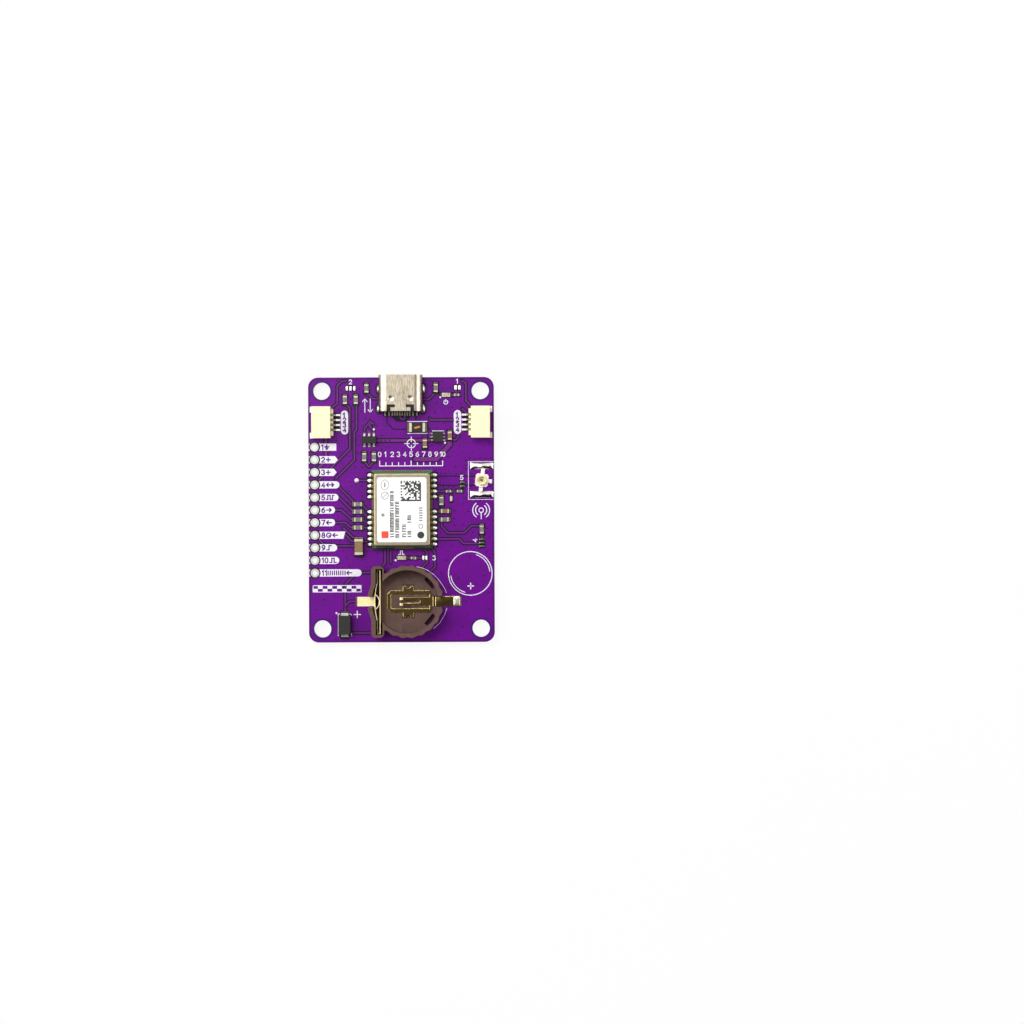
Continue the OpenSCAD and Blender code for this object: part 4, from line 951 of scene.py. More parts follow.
    vias: Path = (
        (-12.95, 26.1), (-5.85, 25.95), (-8.4, 24.5), (-12.0, 24.25), (-7.6, 22.5), (-12.55, 20.3),
        (-9.85, 20.3), (-8.05, 19.85), (-6.0, 20.2), (-10.15, 22.4), (-7.1, 18.35), (-9.8, 17.8),
        (-7.9, 17.05), (-10.2, 16.8), (-4.85, 16.95), (-3.2, 16.95), (-8.6, 15.0), (-3.9, 15.0),
        (-13.1, 13.95), (-4.0, 14.0), (-3.2, 14.0), (-2.3, 14.0), (-8.55, 13.0), (-4.6, 13.0),
        (-2.45, 12.75), (-4.0, 12.2), (-12.2, 11.55), (-8.7, 11.5), (-10.6, 10.85), (6.0, 26.0),
        (8.2, 25.9), (6.0, 24.65), (8.35, 24.5), (10.0, 24.65), (7.15, 21.5), (10.35, 20.6), (12.0, 21.45),
        (6.9, 19.55), (3.7, 18.2), (8.75, 17.35), (7.1, 16.45), (9.95, 16.7), (0.8, 15.0), (0.3, 12.3),
        (8.0, 13.0), (6.3, 13.0), (11.8, 12.9), (3.8, 12.0), (14.35, 11.75), (17.8, 13.3), (9.5, 10.7),
        (-12.0, 9.35), (-9.3, 8.65), (-7.9, 8.65), (-15.0, 6.2), (-10.4, 5.7), (-7.9, 4.9), (-10.65, 3.7),
        (-7.85, 2.8), (-16.6, 1.3), (-10.7, -0.3), (-10.7, 1.5), (-16.6, -1.25), (-10.6, -2.3),
        (-16.8, -3.8), (-8.75, -4.6), (-10.4, -5.6), (-15.6, 3.75), (8.75, 8.65), (10.95, 8.7), (7.1, 8.0),
        (8.0, 7.3), (8.85, 7.3), (9.8, 7.3), (11.1, 7.3), (12.2, 7.3), (14.15, 7.25), (17.2, 7.45),
        (7.5, 4.6), (8.5, 4.6), (9.5, 4.6), (10.5, 4.6), (14.1, 4.65), (18.0, 4.7), (12.95, 9.9),
        (13.0, 8.9), (13.0, 8.2), (13.0, 2.3), (7.3, 1.8), (12.4, 1.15), (10.7, -0.2), (13.5, -0.35),
        (10.7, -1.8), (12.3, -3.0), (10.7, -3.15), (17.5, -2.0), (17.3, -3.85), (14.3, -4.6), (7.9, -4.6),
        (17.7, -5.65), (-12.3, -6.3), (-11.9, -8.2), (-14.95, -8.75), (-9.9, -8.0), (-7.0, -8.3),
        (-4.8, -8.7), (-11.1, -9.8), (-14.9, -11.4), (-10.7, -11.4), (-14.75, -14.2), (-12.6, -14.6),
        (-8.7, -14.6), (-13.3, -17.4), (-15.6, -18.1), (-10.2, -17.3), (-10.4, -19.6), (-17.4, -20.1),
        (-13.4, -26.1), (10.3, -7.2), (13.0, -7.9), (17.2, -8.6), (9.0, -10.2), (8.0, -12.7), (11.4, -13.9),
        (16.7, -13.4), (9.6, -15.8), (17.5, -16.8), (12.95, -18.6), (17.6, -20.1), (10.0, -20.8),
        (13.4, -21.1), (9.9, -23.6), (12.3, -23.7), (11.4, -25.2), (5.5, -25.6), (13.8, -9.6),
        *((x, 10.3) for x in (13.85, 14.85, 15.9, 17.0, 18.0)),
        *((x, 1.75) for x in (13.9, 14.9, 15.9, 16.7, 17.8)),
    )

    def strip(self, path: Array | Path, width: float, layer: Layer, index: int = 0,
              closed: bool = False) -> Surface:
        """Line of a layer on the board. Each index lies a hair higher."""
        return stroke(np.array(path), width, *self.part.over(layer + index * LIFT), closed)

    def outline(self) -> Array:
        """Board's outline, moved inwards by edge_inset: four corner arcs.

        Returns:
            One closed path.
        """
        x, y = self.part.box("circuit_board")[1][:2] - self.corner_r
        r = self.corner_r - self.edge_inset
        corners = ((x, y, 0), (-x, y, 90), (-x, -y, 180), (x, -y, 270))
        return np.vstack([arc(cx, cy, r, r, a, a + 90) for cx, cy, a in corners])

    def pin_centres(self) -> Array:
        """Places the plated holes evenly along the box of their pads.

        Returns:
            Centres from the first to the last.
        """
        low, high = self.part.box("header_pads")
        r = (high[0] - low[0]) / 2
        y = np.linspace(high[1] - r, low[1] + r, self.pin_count)
        return np.column_stack([np.full_like(y, low[0] + r), y])

    def chip_gaps(self) -> list[Surface]:
        """Dark clearances round the two pads of each small part, from the box of its solid.

        Returns:
            Two rounded patches for each part, and one field for each socket's row of feet, partly painted
            shade.
        """
        part = self.part
        chips = [n for n in part.nodes if n.startswith(("resistor_", "capacitor_", "small_resistor_"))]
        gaps = []
        for i, name in enumerate(sorted([*chips, *self.large_chips])):
            low, high = (corner[:2] for corner in part.box(name))
            middle, half = (low + high) / 2, (high - low) / 2
            long = int(half[1] > half[0])
            near = self.pad_start * half[long]
            far = half[long] + (self.long_reach if half[long] > self.long_half else self.short_reach)
            size = half + (self.chip_clear if name in self.large_chips else self.small_clear)
            size[long] = (far - near) / 2
            shift = np.eye(2)[long] * (far + near) / 2
            patch = spot(*size, *part.patch(Layer.CHIP_GAP + i * LIFT), square=9, sides=40)
            gaps.append(patch.repeated(middle + s * shift for s in SIDES))
        # Each socket's field is partly a mask gap round its feet and partly painted shade under its contacts
        for s, side in zip(SIDES, ("left", "right")):
            low, high = part.box(f"{side}_socket_contacts")
            x = (high if s < 0 else low)[0] + s * self.foot_shift
            gaps.append(block(x - self.foot_half, low[1] - self.foot_clear, x + self.foot_half,
                              high[1] + self.foot_clear, *part.patch(Layer.CONTACT_GAP)))
        return gaps

    def build(self) -> None:
        """Adds the gaps, tracks and via holes as thin layers on the board."""
        part = self.part
        tracks = [(path, self.wide_routes.get(i, self.track), i) for i, path in enumerate(self.routes)]
        gaps = [self.strip(path, width + 2 * self.gap, Layer.GAP, i) for path, width, i in tracks]
        gaps += [self.strip(path, self.gap, Layer.POUR_GAP, i) for i, path in enumerate(self.pour_edges)]
        gaps.append(self.strip(self.outline(), self.edge_line, Layer.EDGE_GAP, closed=True))
        band = (self.hole_clear_d - self.hole_d) / 2
        (x, y), r = self.hole_place, (self.hole_d + band) / 2
        rings = [self.strip(ring_path(sx * x, sy * y, r), band, Layer.HOLE_GAP, closed=True)
                 for sx in SIDES for sy in SIDES]
        part.add("hole_clearances", rings, HOLE_MASK, "purple_solder_mask")
        r = self.track_end_r
        gaps.append(spot(r, r, *part.patch(Layer.TRACK_END_GAP), sides=16).repeated(self.track_ends))
        gaps += self.chip_gaps()
        part.add("copper_gaps", gaps, GAP_MASK, "purple_solder_mask")
        strips = [self.strip(path, width, Layer.TRACK, i) for path, width, i in tracks]
        part.add("copper_tracks", strips, TRACK_MASK, "purple_solder_mask")
        r = self.via_d / 2
        vias = spot(r, r, *part.over(Layer.VIA), sides=12).repeated(self.vias)
        part.add("via_holes", [vias], GAP_MASK, "purple_solder_mask")
        rings = [self.strip(ring_path(x, y, self.pin_clear_r, 32), self.pin_clear_w, Layer.MARK, closed=True)
                 for x, y in self.pin_centres()]
        part.add("pin_clearances", rings, GAP_MASK, "purple_solder_mask")

    def build_pads(self) -> None:
        """Domed tin in place of the flat bare pads: a flat-topped bead with soft edges on each."""
        part = self.part
        x, y, r, h = self.test_pad
        beads = [pool(hx, hy, *part.over(self.pad_h), square=6, crown=3).repeated(places)
                 for hx, hy, places in self.bright_pads]
        beads.append(pool(r, r, *part.over(h)).repeated([(x, y)]))
        part.add("tinned_pads", beads, SATIN_TIN, "bright_tin", True, ("jumper_pads",))
        beads = [pool(hx, hy, *part.over(self.dull_pad_h), square=6, crown=5).repeated(places)
                 for hx, hy, places in self.dull_pads]
        part.add("dull_pads", beads, DULL_TIN, "bright_tin", True)
        clear = self.pad_clear
        gaps = [spot(hx + clear, hy + clear, *part.over(Layer.PAD_GAP), square=8).repeated(places)
                for hx, hy, places in self.bright_pads + self.dull_pads]
        part.add("pad_clearances", gaps, GAP_MASK, "purple_solder_mask")

    def dress(self) -> None:
        """Mask on the board's two faces, bare laminate on its edges and bores, tin on the plated holes."""
        for node, *finishes in (("circuit_board", PURPLE_MASK, LAMINATE),
                                ("header_pads", PLATED_TIN, SATIN_TIN)):
            self.part.dress(node, *finishes, choose=lambda c, n: np.abs(n[:, 2]) < UPRIGHT)


# White print

class PillEnd(Enum):
    """Shape of the right end of a pin's white field."""

    SQUARE = "square"
    POINTED = "pointed"
    ROUND = "round"
    SLANTED = "slanted"


@dataclass(frozen=True)
class PinField:
    """White field beside a pin: where it ends, the shape of its end and the marks left bare in it."""

    end_x: float
    end: PillEnd
    marks: tuple[str, ...]


@dataclass
class Print:
    """White ink on the board: pin fields, part outlines and plain marks.

    A socket's field is given by x, lowest and highest y and width, the ruler by its left end, base and step,
    the checkered bar by its left end, base and size of a cell, and dots by place and radius. Outlines and
    signs are given by the width of the pen and its path.
    """

    part: Part
    board: CircuitBoard
    field_h: float = 1.45
    edge_clear: float = 0.06
    point: float = 0.8
    slant: float = 0.2
    mark_h: float = 0.95
    mark_x: float = -16.05
    pen: float = 0.18
    bold_pen: float = 0.26
    fine_pen: float = 0.15
    socket_field: tuple[float, float, float, float] = (11.4, 16.0, 19.3, 1.55)
    number_h: float = 0.82
    number_half: float = 0.26
    jumper_h: float = 0.85
    cell_place: Point = (13.85, -12.9)
    cell_r: float = 4.4
    wave_place: Point = (16.1, -0.15)
    ruler: tuple[float, float, float] = (-4.35, 8.85, 1.27)
    cross_hair: Point = (2.05, 13.35)
    check: tuple[float, float, float, float] = (-17.9, -16.55, 0.97, 0.65)
    fields: tuple[PinField, ...] = (
        PinField(-13.1, PillEnd.SQUARE, ("1", "ground")),
        PinField(-12.8, PillEnd.POINTED, ("2", "plus")),
        PinField(-13.05, PillEnd.POINTED, ("3", "plus")),
        PinField(-12.5, PillEnd.ROUND, ("4", "both")),
        PinField(-12.7, PillEnd.ROUND, ("5", "clock")),
        PinField(-13.4, PillEnd.ROUND, ("6", "out")),
        PinField(-13.4, PillEnd.ROUND, ("7", "in")),
        PinField(-11.55, PillEnd.SLANTED, ("8", "turn", "in")),
        PinField(-13.0, PillEnd.ROUND, ("9", "edge")),
        PinField(-12.6, PillEnd.ROUND, ("1", "0", "pulse")),
        PinField(-8.1, PillEnd.ROUND, ("1", "1", "ticks", "in")),
    )
    outlines: tuple[tuple[float, Path], ...] = (
        (0.16, ((1.35, 17.8), (5.25, 17.8))),
        (0.16, ((1.35, 15.4), (5.25, 15.4))),
        (0.16, ((6.3, 15.87), (8.6, 15.87))),
        (0.1, ((18.6, 9.67), (13.55, 9.67), (13.55, 2.0), (18.6, 2.0))),
        (0.15, ((-12.85, -25.4), (-12.85, -24.9))),
        (0.15, ((-10.15, -25.4), (-10.15, -24.9))),
        (0.15, ((-12.5, -21.0), (-12.85, -21.0), (-12.85, -21.4))),
        (0.15, ((-10.5, -21.0), (-10.15, -21.2))),
        (0.1, ((-12.85, -21.4), (-12.85, -25.3))),
        (0.1, ((3.05, -11.5), (4.2, -11.8), (5.35, -12.3), (6.4, -13.05), (7.35, -14.0), (8.3, -15.35),
               (8.75, -16.1), (9.0, -16.8))),
        (0.1, ((9.1, -19.9), (8.6, -21.3), (7.7, -22.8), (6.4, -24.0))),
    )
    signs: tuple[tuple[float, Path], ...] = (
        (0.24, ((13.35, -15.45), (14.5, -15.45))),
        (0.24, ((13.92, -16.02), (13.92, -14.88))),
        (0.2, ((-9.65, -21.1), (-8.35, -21.1))),
        (0.2, ((-9.0, -21.75), (-9.0, -20.45))),
        (0.2, ((16.1, -0.65), (16.1, -1.85))),
    )
    arrows: tuple[Path, ...] = (
        ((-7.3, 19.7), (-7.3, 22.4)), ((-7.75, 21.85), (-7.3, 22.4), (-6.85, 21.85)),
        ((-6.2, 22.4), (-6.2, 19.7)), ((-6.65, 20.25), (-6.2, 19.7), (-5.75, 20.25)),
    )
    dots: tuple[tuple[float, float, float], ...] = (
        (-5.5, 16.25, 0.21), (7.95, 22.7, 0.2), (8.85, 13.5, 0.22), (-1.2, -10.2, 0.2), (-13.2, -20.8, 0.2))

    def pill(self, pin: PinField, y: float) -> Surface:
        """Field from the board's edge to its end: x runs from the edge to an end line that depends on v.

        With v from -1 to 1 across the field and r half its height, the end line is end - r + r sqrt(1 - v^2)
        for a round end, end - point r |v| for a pointed one and end + slant v for a slanted one.

        Args:
            pin: The field.
            y: Middle of the field.

        Returns:
            A closed surface.
        """
        r = self.field_h / 2
        v = np.sin(np.linspace(-math.pi / 2, math.pi / 2, 17))
        ends = {PillEnd.SQUARE: np.zeros_like(v), PillEnd.POINTED: -self.point * r * np.abs(v),
                PillEnd.ROUND: r * np.sqrt(np.maximum(1 - v ** 2, 0)) - r, PillEnd.SLANTED: self.slant * v}
        left = self.part.box("circuit_board")[0][0] + self.edge_clear
        right = pin.end_x + ends[pin.end]
        x = left + (right - left)[None] * np.linspace(0, 1, 4)[:, None]
        return slab(np.stack([x, np.broadcast_to(y + r * v, x.shape)], -1), *self.part.over(Layer.INK))

    def build_fields(self) -> None:
        """Adds the pins' fields, the sockets' fields and the marks left bare in them."""
        part = self.part
        pins = list(zip(self.fields, self.board.pin_centres()[:, 1]))
        pills = [self.pill(pin, y) for pin, y in pins]
        marks = [mark for pin, y in pins for mark in write(pin.marks, self.mark_x, y, self.mark_h)]
        side_x, low, high, width = self.socket_field
        for x in (-side_x, side_x):
            pills.append(stroke(line((x, low), (x, high)), width, *part.over(Layer.INK_FIELD)))
            for number, y in zip("1234", (19.15, 18.15, 17.15, 16.15)):
                marks += write(number, x - self.number_half, y, self.number_h)
        part.add("pin_fields", pills, WHITE_INK, "white_label")
        base = part.over(Layer.INK)[1] - SINK
        strokes = [stroke(mark, self.bold_pen, base, part.over(Layer.MARK + i * LIFT)[1])
                   for i, mark in enumerate(marks)]
        part.add("pin_marks", strokes, PURPLE_MASK, "purple_solder_mask")

    def build_marks(self) -> None:
        """Adds part outlines, spots, the cell's circle, the wave sign, the checkered bar and plain marks."""
        part = self.part
        ink = part.over(Layer.INK)
        (x, y), (wave_x, wave_y) = self.cell_place, self.wave_place
        lines = [(line(*path), width) for width, path in self.outlines]
        lines += [(arc(x, y, 3.95, 3.95, a, b, 5), 0.17) for a, b in ((72, 6), (188, 254))]
        lines += [(line(*path), width) for width, path in self.signs]
        lines += [(arc(wave_x, wave_y, r, r, turn - half, turn + half, 6), 0.2)
                  for r, half in ((1.12, 52), (1.7, 53)) for turn in (0, 180)]
        lines += self.plain_marks()
        strokes = [stroke(path, width, *part.over(Layer.INK + i * LIFT))
                   for i, (path, width) in enumerate(lines)]
        strokes += [stroke(ring_path(*centre, r, count), 0.19, *ink, True)
                    for centre, r, count in ((self.cell_place, self.cell_r, 96), (self.wave_place, 0.45, 32))]
        left, low, wide, tall = self.check
        strokes += [block(0, 0, wide, tall, *part.over(Layer.INK_CHECK)).repeated(
            (left + wide * i, low + tall * (i % 2)) for i in range(10))]
        strokes += [spot(r, r, *ink, sides=20).repeated([(dot_x, dot_y)]) for dot_x, dot_y, r in self.dots]
        part.add("printed_marks", strokes, WHITE_INK, "white_label")

    def plain_marks(self) -> list[tuple[Array, float]]:
        """Numbers beside jumpers, a ruler and a cross hair by the receiver, arrows by the port and a frame.

        Returns:
            Paths, each with the width of its pen.
        """
        marks: list[Array] = []
        for number, x, y, turn in (("2", -10.45, 25.85, 0), ("1", 11.2, 25.9, 0), ("3", 6.3, -9.75, 0),
                                   ("4", 14.8, -6.5, 90), ("5", 11.95, 6.45, 0)):
            marks += write(number, x, y, self.jumper_h, turn)
        marks += write(("power",), 8.65, 21.75, 0.95) + write(("pulse",), -0.6, -8.65, 0.8)
        # ruler: numbers over ticks half a pin pitch apart
        left, base, step = self.ruler
        for i in range(11):
            x = left + step * i
            marks.append(line((x, base), (x, 9.85 if i % 5 == 0 else 9.5)))
            marks += write(str(i), x - (0.28 if i < 10 else 0.5), 11.2, 0.92, space=0.25)
        marks.append(line((left, base), (left + step * 10, base)))
        x, y = self.cross_hair
        marks += [line((x + 1.35 * sx, y + 1.35 * sy), (x + 0.4 * sx, y + 0.4 * sy))
                  for sx, sy in ((1, 0), (-1, 0), (0, 1), (0, -1))]
        marks.append(arc(x, y, 0.85, 0.85, 0, 360))
        marks += [line(*path) for path in self.arrows]
        # frame of the checkered bar
        bar = line((-17.9, -15.25), (-8.2, -15.25), (-8.2, -16.55), (-17.9, -16.55), (-17.9, -15.25))
        return [(mark, self.pen) for mark in marks] + [(bar, self.fine_pen)]

    def build(self) -> None:
        """Adds all the white print."""
        self.build_fields()
        self.build_marks()


# Port

@dataclass
class Port:
    """Data and power port with its folded shell, tongue, contacts and leg solder."""

    part: Part
    bead_reach: float = 0.52
    bead_half: float = 0.98
    bead_h: float = 0.42
    leg_inset: float = 0.02
    leg_ys: Point = (24.4, 20.4)
    leg_clear: float = 0.2
    leg_gap_half: float = 1.2
    loop_place: Point = (0.3, 18.75)
    loop_r: float = 0.5
    loop_w: float = 0.26
    loop_start_y: float = 19.6
    tails: tuple[float, float, float, float] = (-3.65, 18.85, 3.65, 20.0)
    loop_gap: tuple[Path, ...] = (((-2.2, 19.6), (2.25, 19.6)), ((-2.15, 19.0), (2.2, 19.0)),
                                  ((-0.9, 17.75), (1.1, 17.75)))
    roof_least: float = 0.6
    tail_l: float = 0.3

    def build(self) -> None:
        """Beads along the shell's legs, in place of the flat solder, and the copper behind the port."""
        part = self.part
        x = part.box("port_shell")[1][0] - self.leg_inset
        legs = [(s * x, y) for s in SIDES for y in self.leg_ys]
        bead = pool(self.bead_reach, self.bead_half, *part.over(self.bead_h))
        part.add("port_leg_solder", [bead.repeated(legs)], TIN, "bright_tin", True, ("port_solder",))
        dark = spot(self.bead_reach + self.leg_clear, self.leg_gap_half, *part.over(Layer.LEG_GAP),
                    square=2.6)
        # The block behind the shell is partly a mask gap between the tails and partly painted shade under the
        # shell's back
        gaps = [dark.repeated(legs), slab(np.array(self.loop_gap), *part.over(Layer.PAD_GAP)),
                block(*self.tails, *part.over(Layer.TAIL_GAP))]
        part.add("port_clearances", gaps, GAP_MASK, "purple_solder_mask")
        (x, y), r = self.loop_place, self.loop_r
        start, end = line((x - r, self.loop_start_y)), line((x + r, self.loop_start_y))
        loop = np.vstack([start, arc(x, y, r, r, 180, 360), end])
        part.add("port_loop_track", [stroke(loop, self.loop_w, *part.over(Layer.TRACK))], TRACK_MASK,
                 "purple_solder_mask")

    def dress(self) -> None:
        """Nickel shell with painted shade on its steep sides, black tongue, and gold contacts with tinned
        tails.
        """
        part = self.part
        part.dress("port_shell", NICKEL, SHADED_SIDE_NICKEL, choose=lambda c, n: n[:, 2] < self.roof_least)
        part.dress("port_insulator", BLACK_MOULDING)
        tail = part.box("port_shell")[0][1] + self.tail_l
        part.dress("port_contacts", GOLD, LEAD_TIN, choose=lambda c, n: c[:, 1] < tail)


# Side sockets

@dataclass
class SideSockets:
    """The two four-way sockets."""

    part: Part
    rounding: float = 0.06
    foot_x: float = 13.05

    def dress(self) -> None:
        """Cream housings, contacts with tinned feet and tinned tabs."""
        part = self.part
        for side in ("left", "right"):
            part.dress(f"{side}_socket_housing", CREAM)
            part.soften(f"{side}_socket_housing", f"{side}_socket_body", self.rounding, "cream_moulding")
            part.dress(f"{side}_socket_contacts", LEAD_TIN, SATIN_TIN,
                       choose=lambda c, n: np.abs(c[:, 0]) < self.foot_x)
            part.dress(f"{side}_socket_tabs", SATIN_TIN)
        part.dress("socket_solder", SATIN_TIN)


# Receiver module

@dataclass
class Receiver:
    """Receiver module: castellated board, can, label and the solder along its edges.

    The rows of bars on the label are given as x, first y, last y and height of a bar. Each place has a stem.
    Some have a foot, given by its height and length, and some a second stem, given by its start and end.
    """

    part: Part
    pitch: float = 1.1
    rows: tuple[int, int] = (7, 5)
    row_gap: float = 3.0
    hole_r: float = 0.32
    hole_depth: float = 0.5
    bead_l: float = 1.05
    bead_w: float = 0.84
    bead_h: float = 0.4
    bead_out: float = 0.42
    bead_sides: int = 28
    pad_half: Point = (0.15, 0.3)
    pad_inset: float = 0.16
    strip_inset: float = 0.14
    strip_half: float = 0.12
    edge_band_h: float = 0.012
    front_shade_h: float = 0.01
    front_shade_w: float = 0.36
    strip_h: float = 0.018
    pad_h: float = 0.02
    print_h: float = 0.012
    cell: float = 0.292
    cells: int = 14
    cell_share: float = 0.5
    code_place: Point = (-0.22, 1.72)
    label_half: float = 5.0
    bar_pitch: float = 0.52
    stem_w: float = 0.19
    foot: Point = (0.18, 0.4)
    foot_share: float = 0.6
    second: Point = (0.29, 0.43)
    second_share: float = 0.7
    bar_rows: tuple[tuple[float, float, float, float], ...] = (
        (-2.0, -5.5, 3.6, 0.76), (-0.92, -5.6, 1.5, 0.76), (0.45, -5.5, -3.1, 0.74), (1.5, -5.5, -4.0, 0.74),
        (1.5, -2.6, -1.5, 0.74))

    def pad_ys(self) -> Array:
        """Places of the half holes along an edge: two rows with a wider gap between them.

        Returns:
            Distances from the board's middle, from the lowest up.
        """
        first, second = self.rows
        steps = np.concatenate([np.arange(first) * self.pitch,
                                (first - 1 + np.arange(second)) * self.pitch + self.row_gap])
        return steps - steps[-1] / 2

    def middle_edge(self) -> tuple[float, float]:
        """Middle of the board along X, and the distance from there to its edges."""
        low, high = self.part.box("receiver_board")
        return (low[0] + high[0]) / 2, (high[0] - low[0]) / 2

    def bead(self, side: int) -> Surface:
        """Teardrop of solder from the half hole outwards.

        The rim is a blunt ellipse (cos a, sin a^0.7), made narrower towards its outer end by 1 - 0.12 cos a,
        and the height is bead_h (1 - v^5) (0.7 - 0.3 x), higher against the module's edge.

        Args:
            side: -1 for the left edge, 1 for the right one.

        Returns:
            A closed surface.
        """
        low = self.part.over(0)[0]
        a = np.linspace(0, 2 * math.pi, self.bead_sides, endpoint=False)
        v = np.append(np.sin(np.linspace(0, math.pi / 2, 7)), 0.0)[:, None]
        x = v * np.cos(a)[None]
        y = v * np.sign(np.sin(a)) * np.abs(np.sin(a)) ** 0.7 * (1 - 0.12 * np.cos(a))
        z = low + self.bead_h * (1 - v ** 5) * (0.7 - 0.3 * x)
        z[-1] = low
        points = np.stack([side * (self.bead_out + x * 0.5 * self.bead_l), y * 0.5 * self.bead_w, z], -1)
        return Surface(points.reshape(-1, 3), grid_faces(len(v), self.bead_sides, False, True))

    def bands(self, out: float, half: float, clear: float, levels: Point) -> list[Surface]:
        """Bands along both edges, one for each row of half holes.

        Args:
            out: Middle of a band, outwards from the edge.
            half: Half its width.
            clear: How far it runs past the row's end places.
            levels: Heights of its underside and top.

        Returns:
            Four plates.
        """
        (middle, edge), ys, count = self.middle_edge(), self.pad_ys(), self.rows[0]
        centres = [middle + s * (edge + out) for s in SIDES]
        return [block(x - half, y0 - clear, x + half, y1 + clear, *levels)
                for x in centres for y0, y1 in ((ys[0], ys[count - 1]), (ys[count], ys[-1]))]

    def build_solder(self) -> None:
        """Beads on all the half holes with a dark clearance under them, painted shade along the module's
        edges, and the bare copper beside them.
        """
        part, ys = self.part, self.pad_ys()
        middle, edge = self.middle_edge()
        beads = [self.bead(s).repeated((middle + s * edge, y) for y in ys) for s in SIDES]
        part.add("receiver_edge_solder", beads, BEAD_TIN, "bright_tin", True, ("receiver_solder",))
        dark = self.bands(out=0.45, half=0.65, clear=0.62, levels=part.over(Layer.RECEIVER_GAP))
        part.add("receiver_clearances", dark, GAP_MASK, "purple_solder_mask")
        # Dark bands inside both edges, bare laminate with painted shade, and a painted shadow along the front
        # edge
        bare = self.bands(out=-0.2, half=0.2, clear=0.55, levels=part.over(self.edge_band_h, "receiver_board"))
        front = part.box("receiver_board")[0][1]
        bare.append(block(middle - edge, front, middle + edge, front + self.front_shade_w,
                          *part.over(self.front_shade_h, "receiver_board")))
        part.add("receiver_edge_painted_shade", bare, EDGE_PAINTED_SHADE, "green_mask")
        hx, hy = self.pad_half
        pad = block(-hx, -hy, hx, hy, *part.over(self.pad_h, "receiver_board"))
        pads = [pad.repeated((middle + s * (edge - self.pad_inset), y) for y in ys) for s in SIDES]
        part.add("receiver_edge_pads", pads, GOLD, "gold_flash")
        strips = [(-4.0, 7.62, -1.4, 7.86), (2.4, 7.62, 4.0, 7.86), (-1.5, -7.86, 2.2, -7.62)]
        x, half = edge - self.strip_inset, self.strip_half
        strips += [(s * x - half, y0, s * x + half, y1)
                   for y0, y1 in ((0.3, 1.9), (-2.2, -0.6)) for s in SIDES]
        copper = [block(middle + x0, y0, middle + x1, y1, *part.over(self.strip_h, "receiver_board"))
                  for x0, y0, x1, y1 in strips]
        part.add("receiver_bare_strips", copper, DULL_COPPER, "gold_flash")

    def build_label(self) -> None:
        """Plain marks on the label: a random square code, rows of bars, three rings and three spots."""
        part = self.part
        levels = part.over(self.print_h, "receiver_label")
        shift = [(part.box("receiver_label")[0][0] + self.label_half, 0)]
        draw = np.random.default_rng(SEED)
        filled = draw.random((self.cells, self.cells)) < self.cell_share
        filled[:, -1] = filled[0, :] = True
        filled[:, 0] = filled[-1, :] = np.arange(self.cells) % 2 == 0
        row, col = np.nonzero(filled)
        places = np.array(self.code_place) + np.column_stack([col, row]) * self.cell
        black = [block(0, 0, self.cell, self.cell, *levels).repeated(places),
                 spot(0.7, 0.7, *levels, sides=40).repeated([(3.8, -5.1)])]
        for x, y0, y1, tall in self.bar_rows:
            here = np.array([(x, y) for y in np.arange(y0, y1, self.bar_pitch)])
            half = tall / 2
            stem = block(-half, 0, half, self.stem_w, *levels)
            foot = block(-half, 0, self.foot[0] - half, self.foot[1], *levels)
            second = block(-half, self.second[0], half, self.second[1], *levels)
            black += [stem.repeated(here), foot.repeated(here[draw.random(len(here)) < self.foot_share]),
                      second.repeated(here[draw.random(len(here)) < self.second_share])]
        part.add("label_black_print", [s.repeated(shift) for s in black], BLACK_PRINT, "black_moulding")
        grey = [stroke(arc(-3.4, 5.0, 0.75, 1.0, 0, 350, 10), 0.12, *levels),
                stroke(ring_path(-3.4, 2.85, 0.72, 40), 0.13, *levels, True),
                stroke(line((-3.4, 4.65), (-3.4, 5.35)), 0.3, *levels),
                stroke(line((-3.9, 2.35), (-2.9, 3.35)), 0.13, *levels),
                stroke(ring_path(3.8, -3.35, 0.4, 32), 0.16, *levels, True),
                spot(0.33, 0.33, *levels, sides=24).repeated([(-3.8, -1.05)]),
                block(-0.36, 0, 0.36, 0.26, *levels).repeated((3.8, y) for y in np.arange(-2.3, 0.6, 0.5))]
        part.add("label_grey_print", [s.repeated(shift) for s in grey], GREY_PRINT, "white_label")
        red = spot(0.7, 0.7, *levels, square=9, sides=40).repeated([(-3.4, -5.0)])
        part.add("label_red_spot", [red.repeated(shift)], RED_PRINT, "white_label")

    def board_slots(self, centres: Array, normals: Array) -> Array:
        """Mask on the flats, gold in the half holes, sawn laminate on the rest of the edges.

        Args:
            centres: Middles of the faces, in millimetres.
            normals: Their normals.

        Returns:
            0 for mask, 1 for laminate and 2 for gold.
        """
        middle, edge = self.middle_edge()
        upright = np.abs(normals[:, 2]) < UPRIGHT
        across = np.abs(centres[:, 0] - middle)
        inside = (across < edge - NEAR) & (across > edge - self.hole_depth)
        near = np.abs(centres[:, 1, None] - self.pad_ys()).min(1) < self.hole_r
        return np.where(upright, np.where(inside & near, 2, 1), 0)

    def dress(self) -> None:
        """Green board with gold half holes, metal can, paper label and the parts inside."""
        self.part.dress("receiver_board", GREEN_MASK, GREEN_EDGE, GOLD, choose=self.board_slots)
        for node, finish in (("shield", CAN_METAL), ("label", PAPER), ("chip", BLACK_MOULDING),
                             ("oscillator", GOLD), ("filter", PALE_CERAMIC)):
            self.part.dress(f"receiver_{node}", finish)

    def build(self) -> None:
        """Adds the edge solder and the label's marks."""
        self.build_solder()
        self.build_label()


# Aerial socket

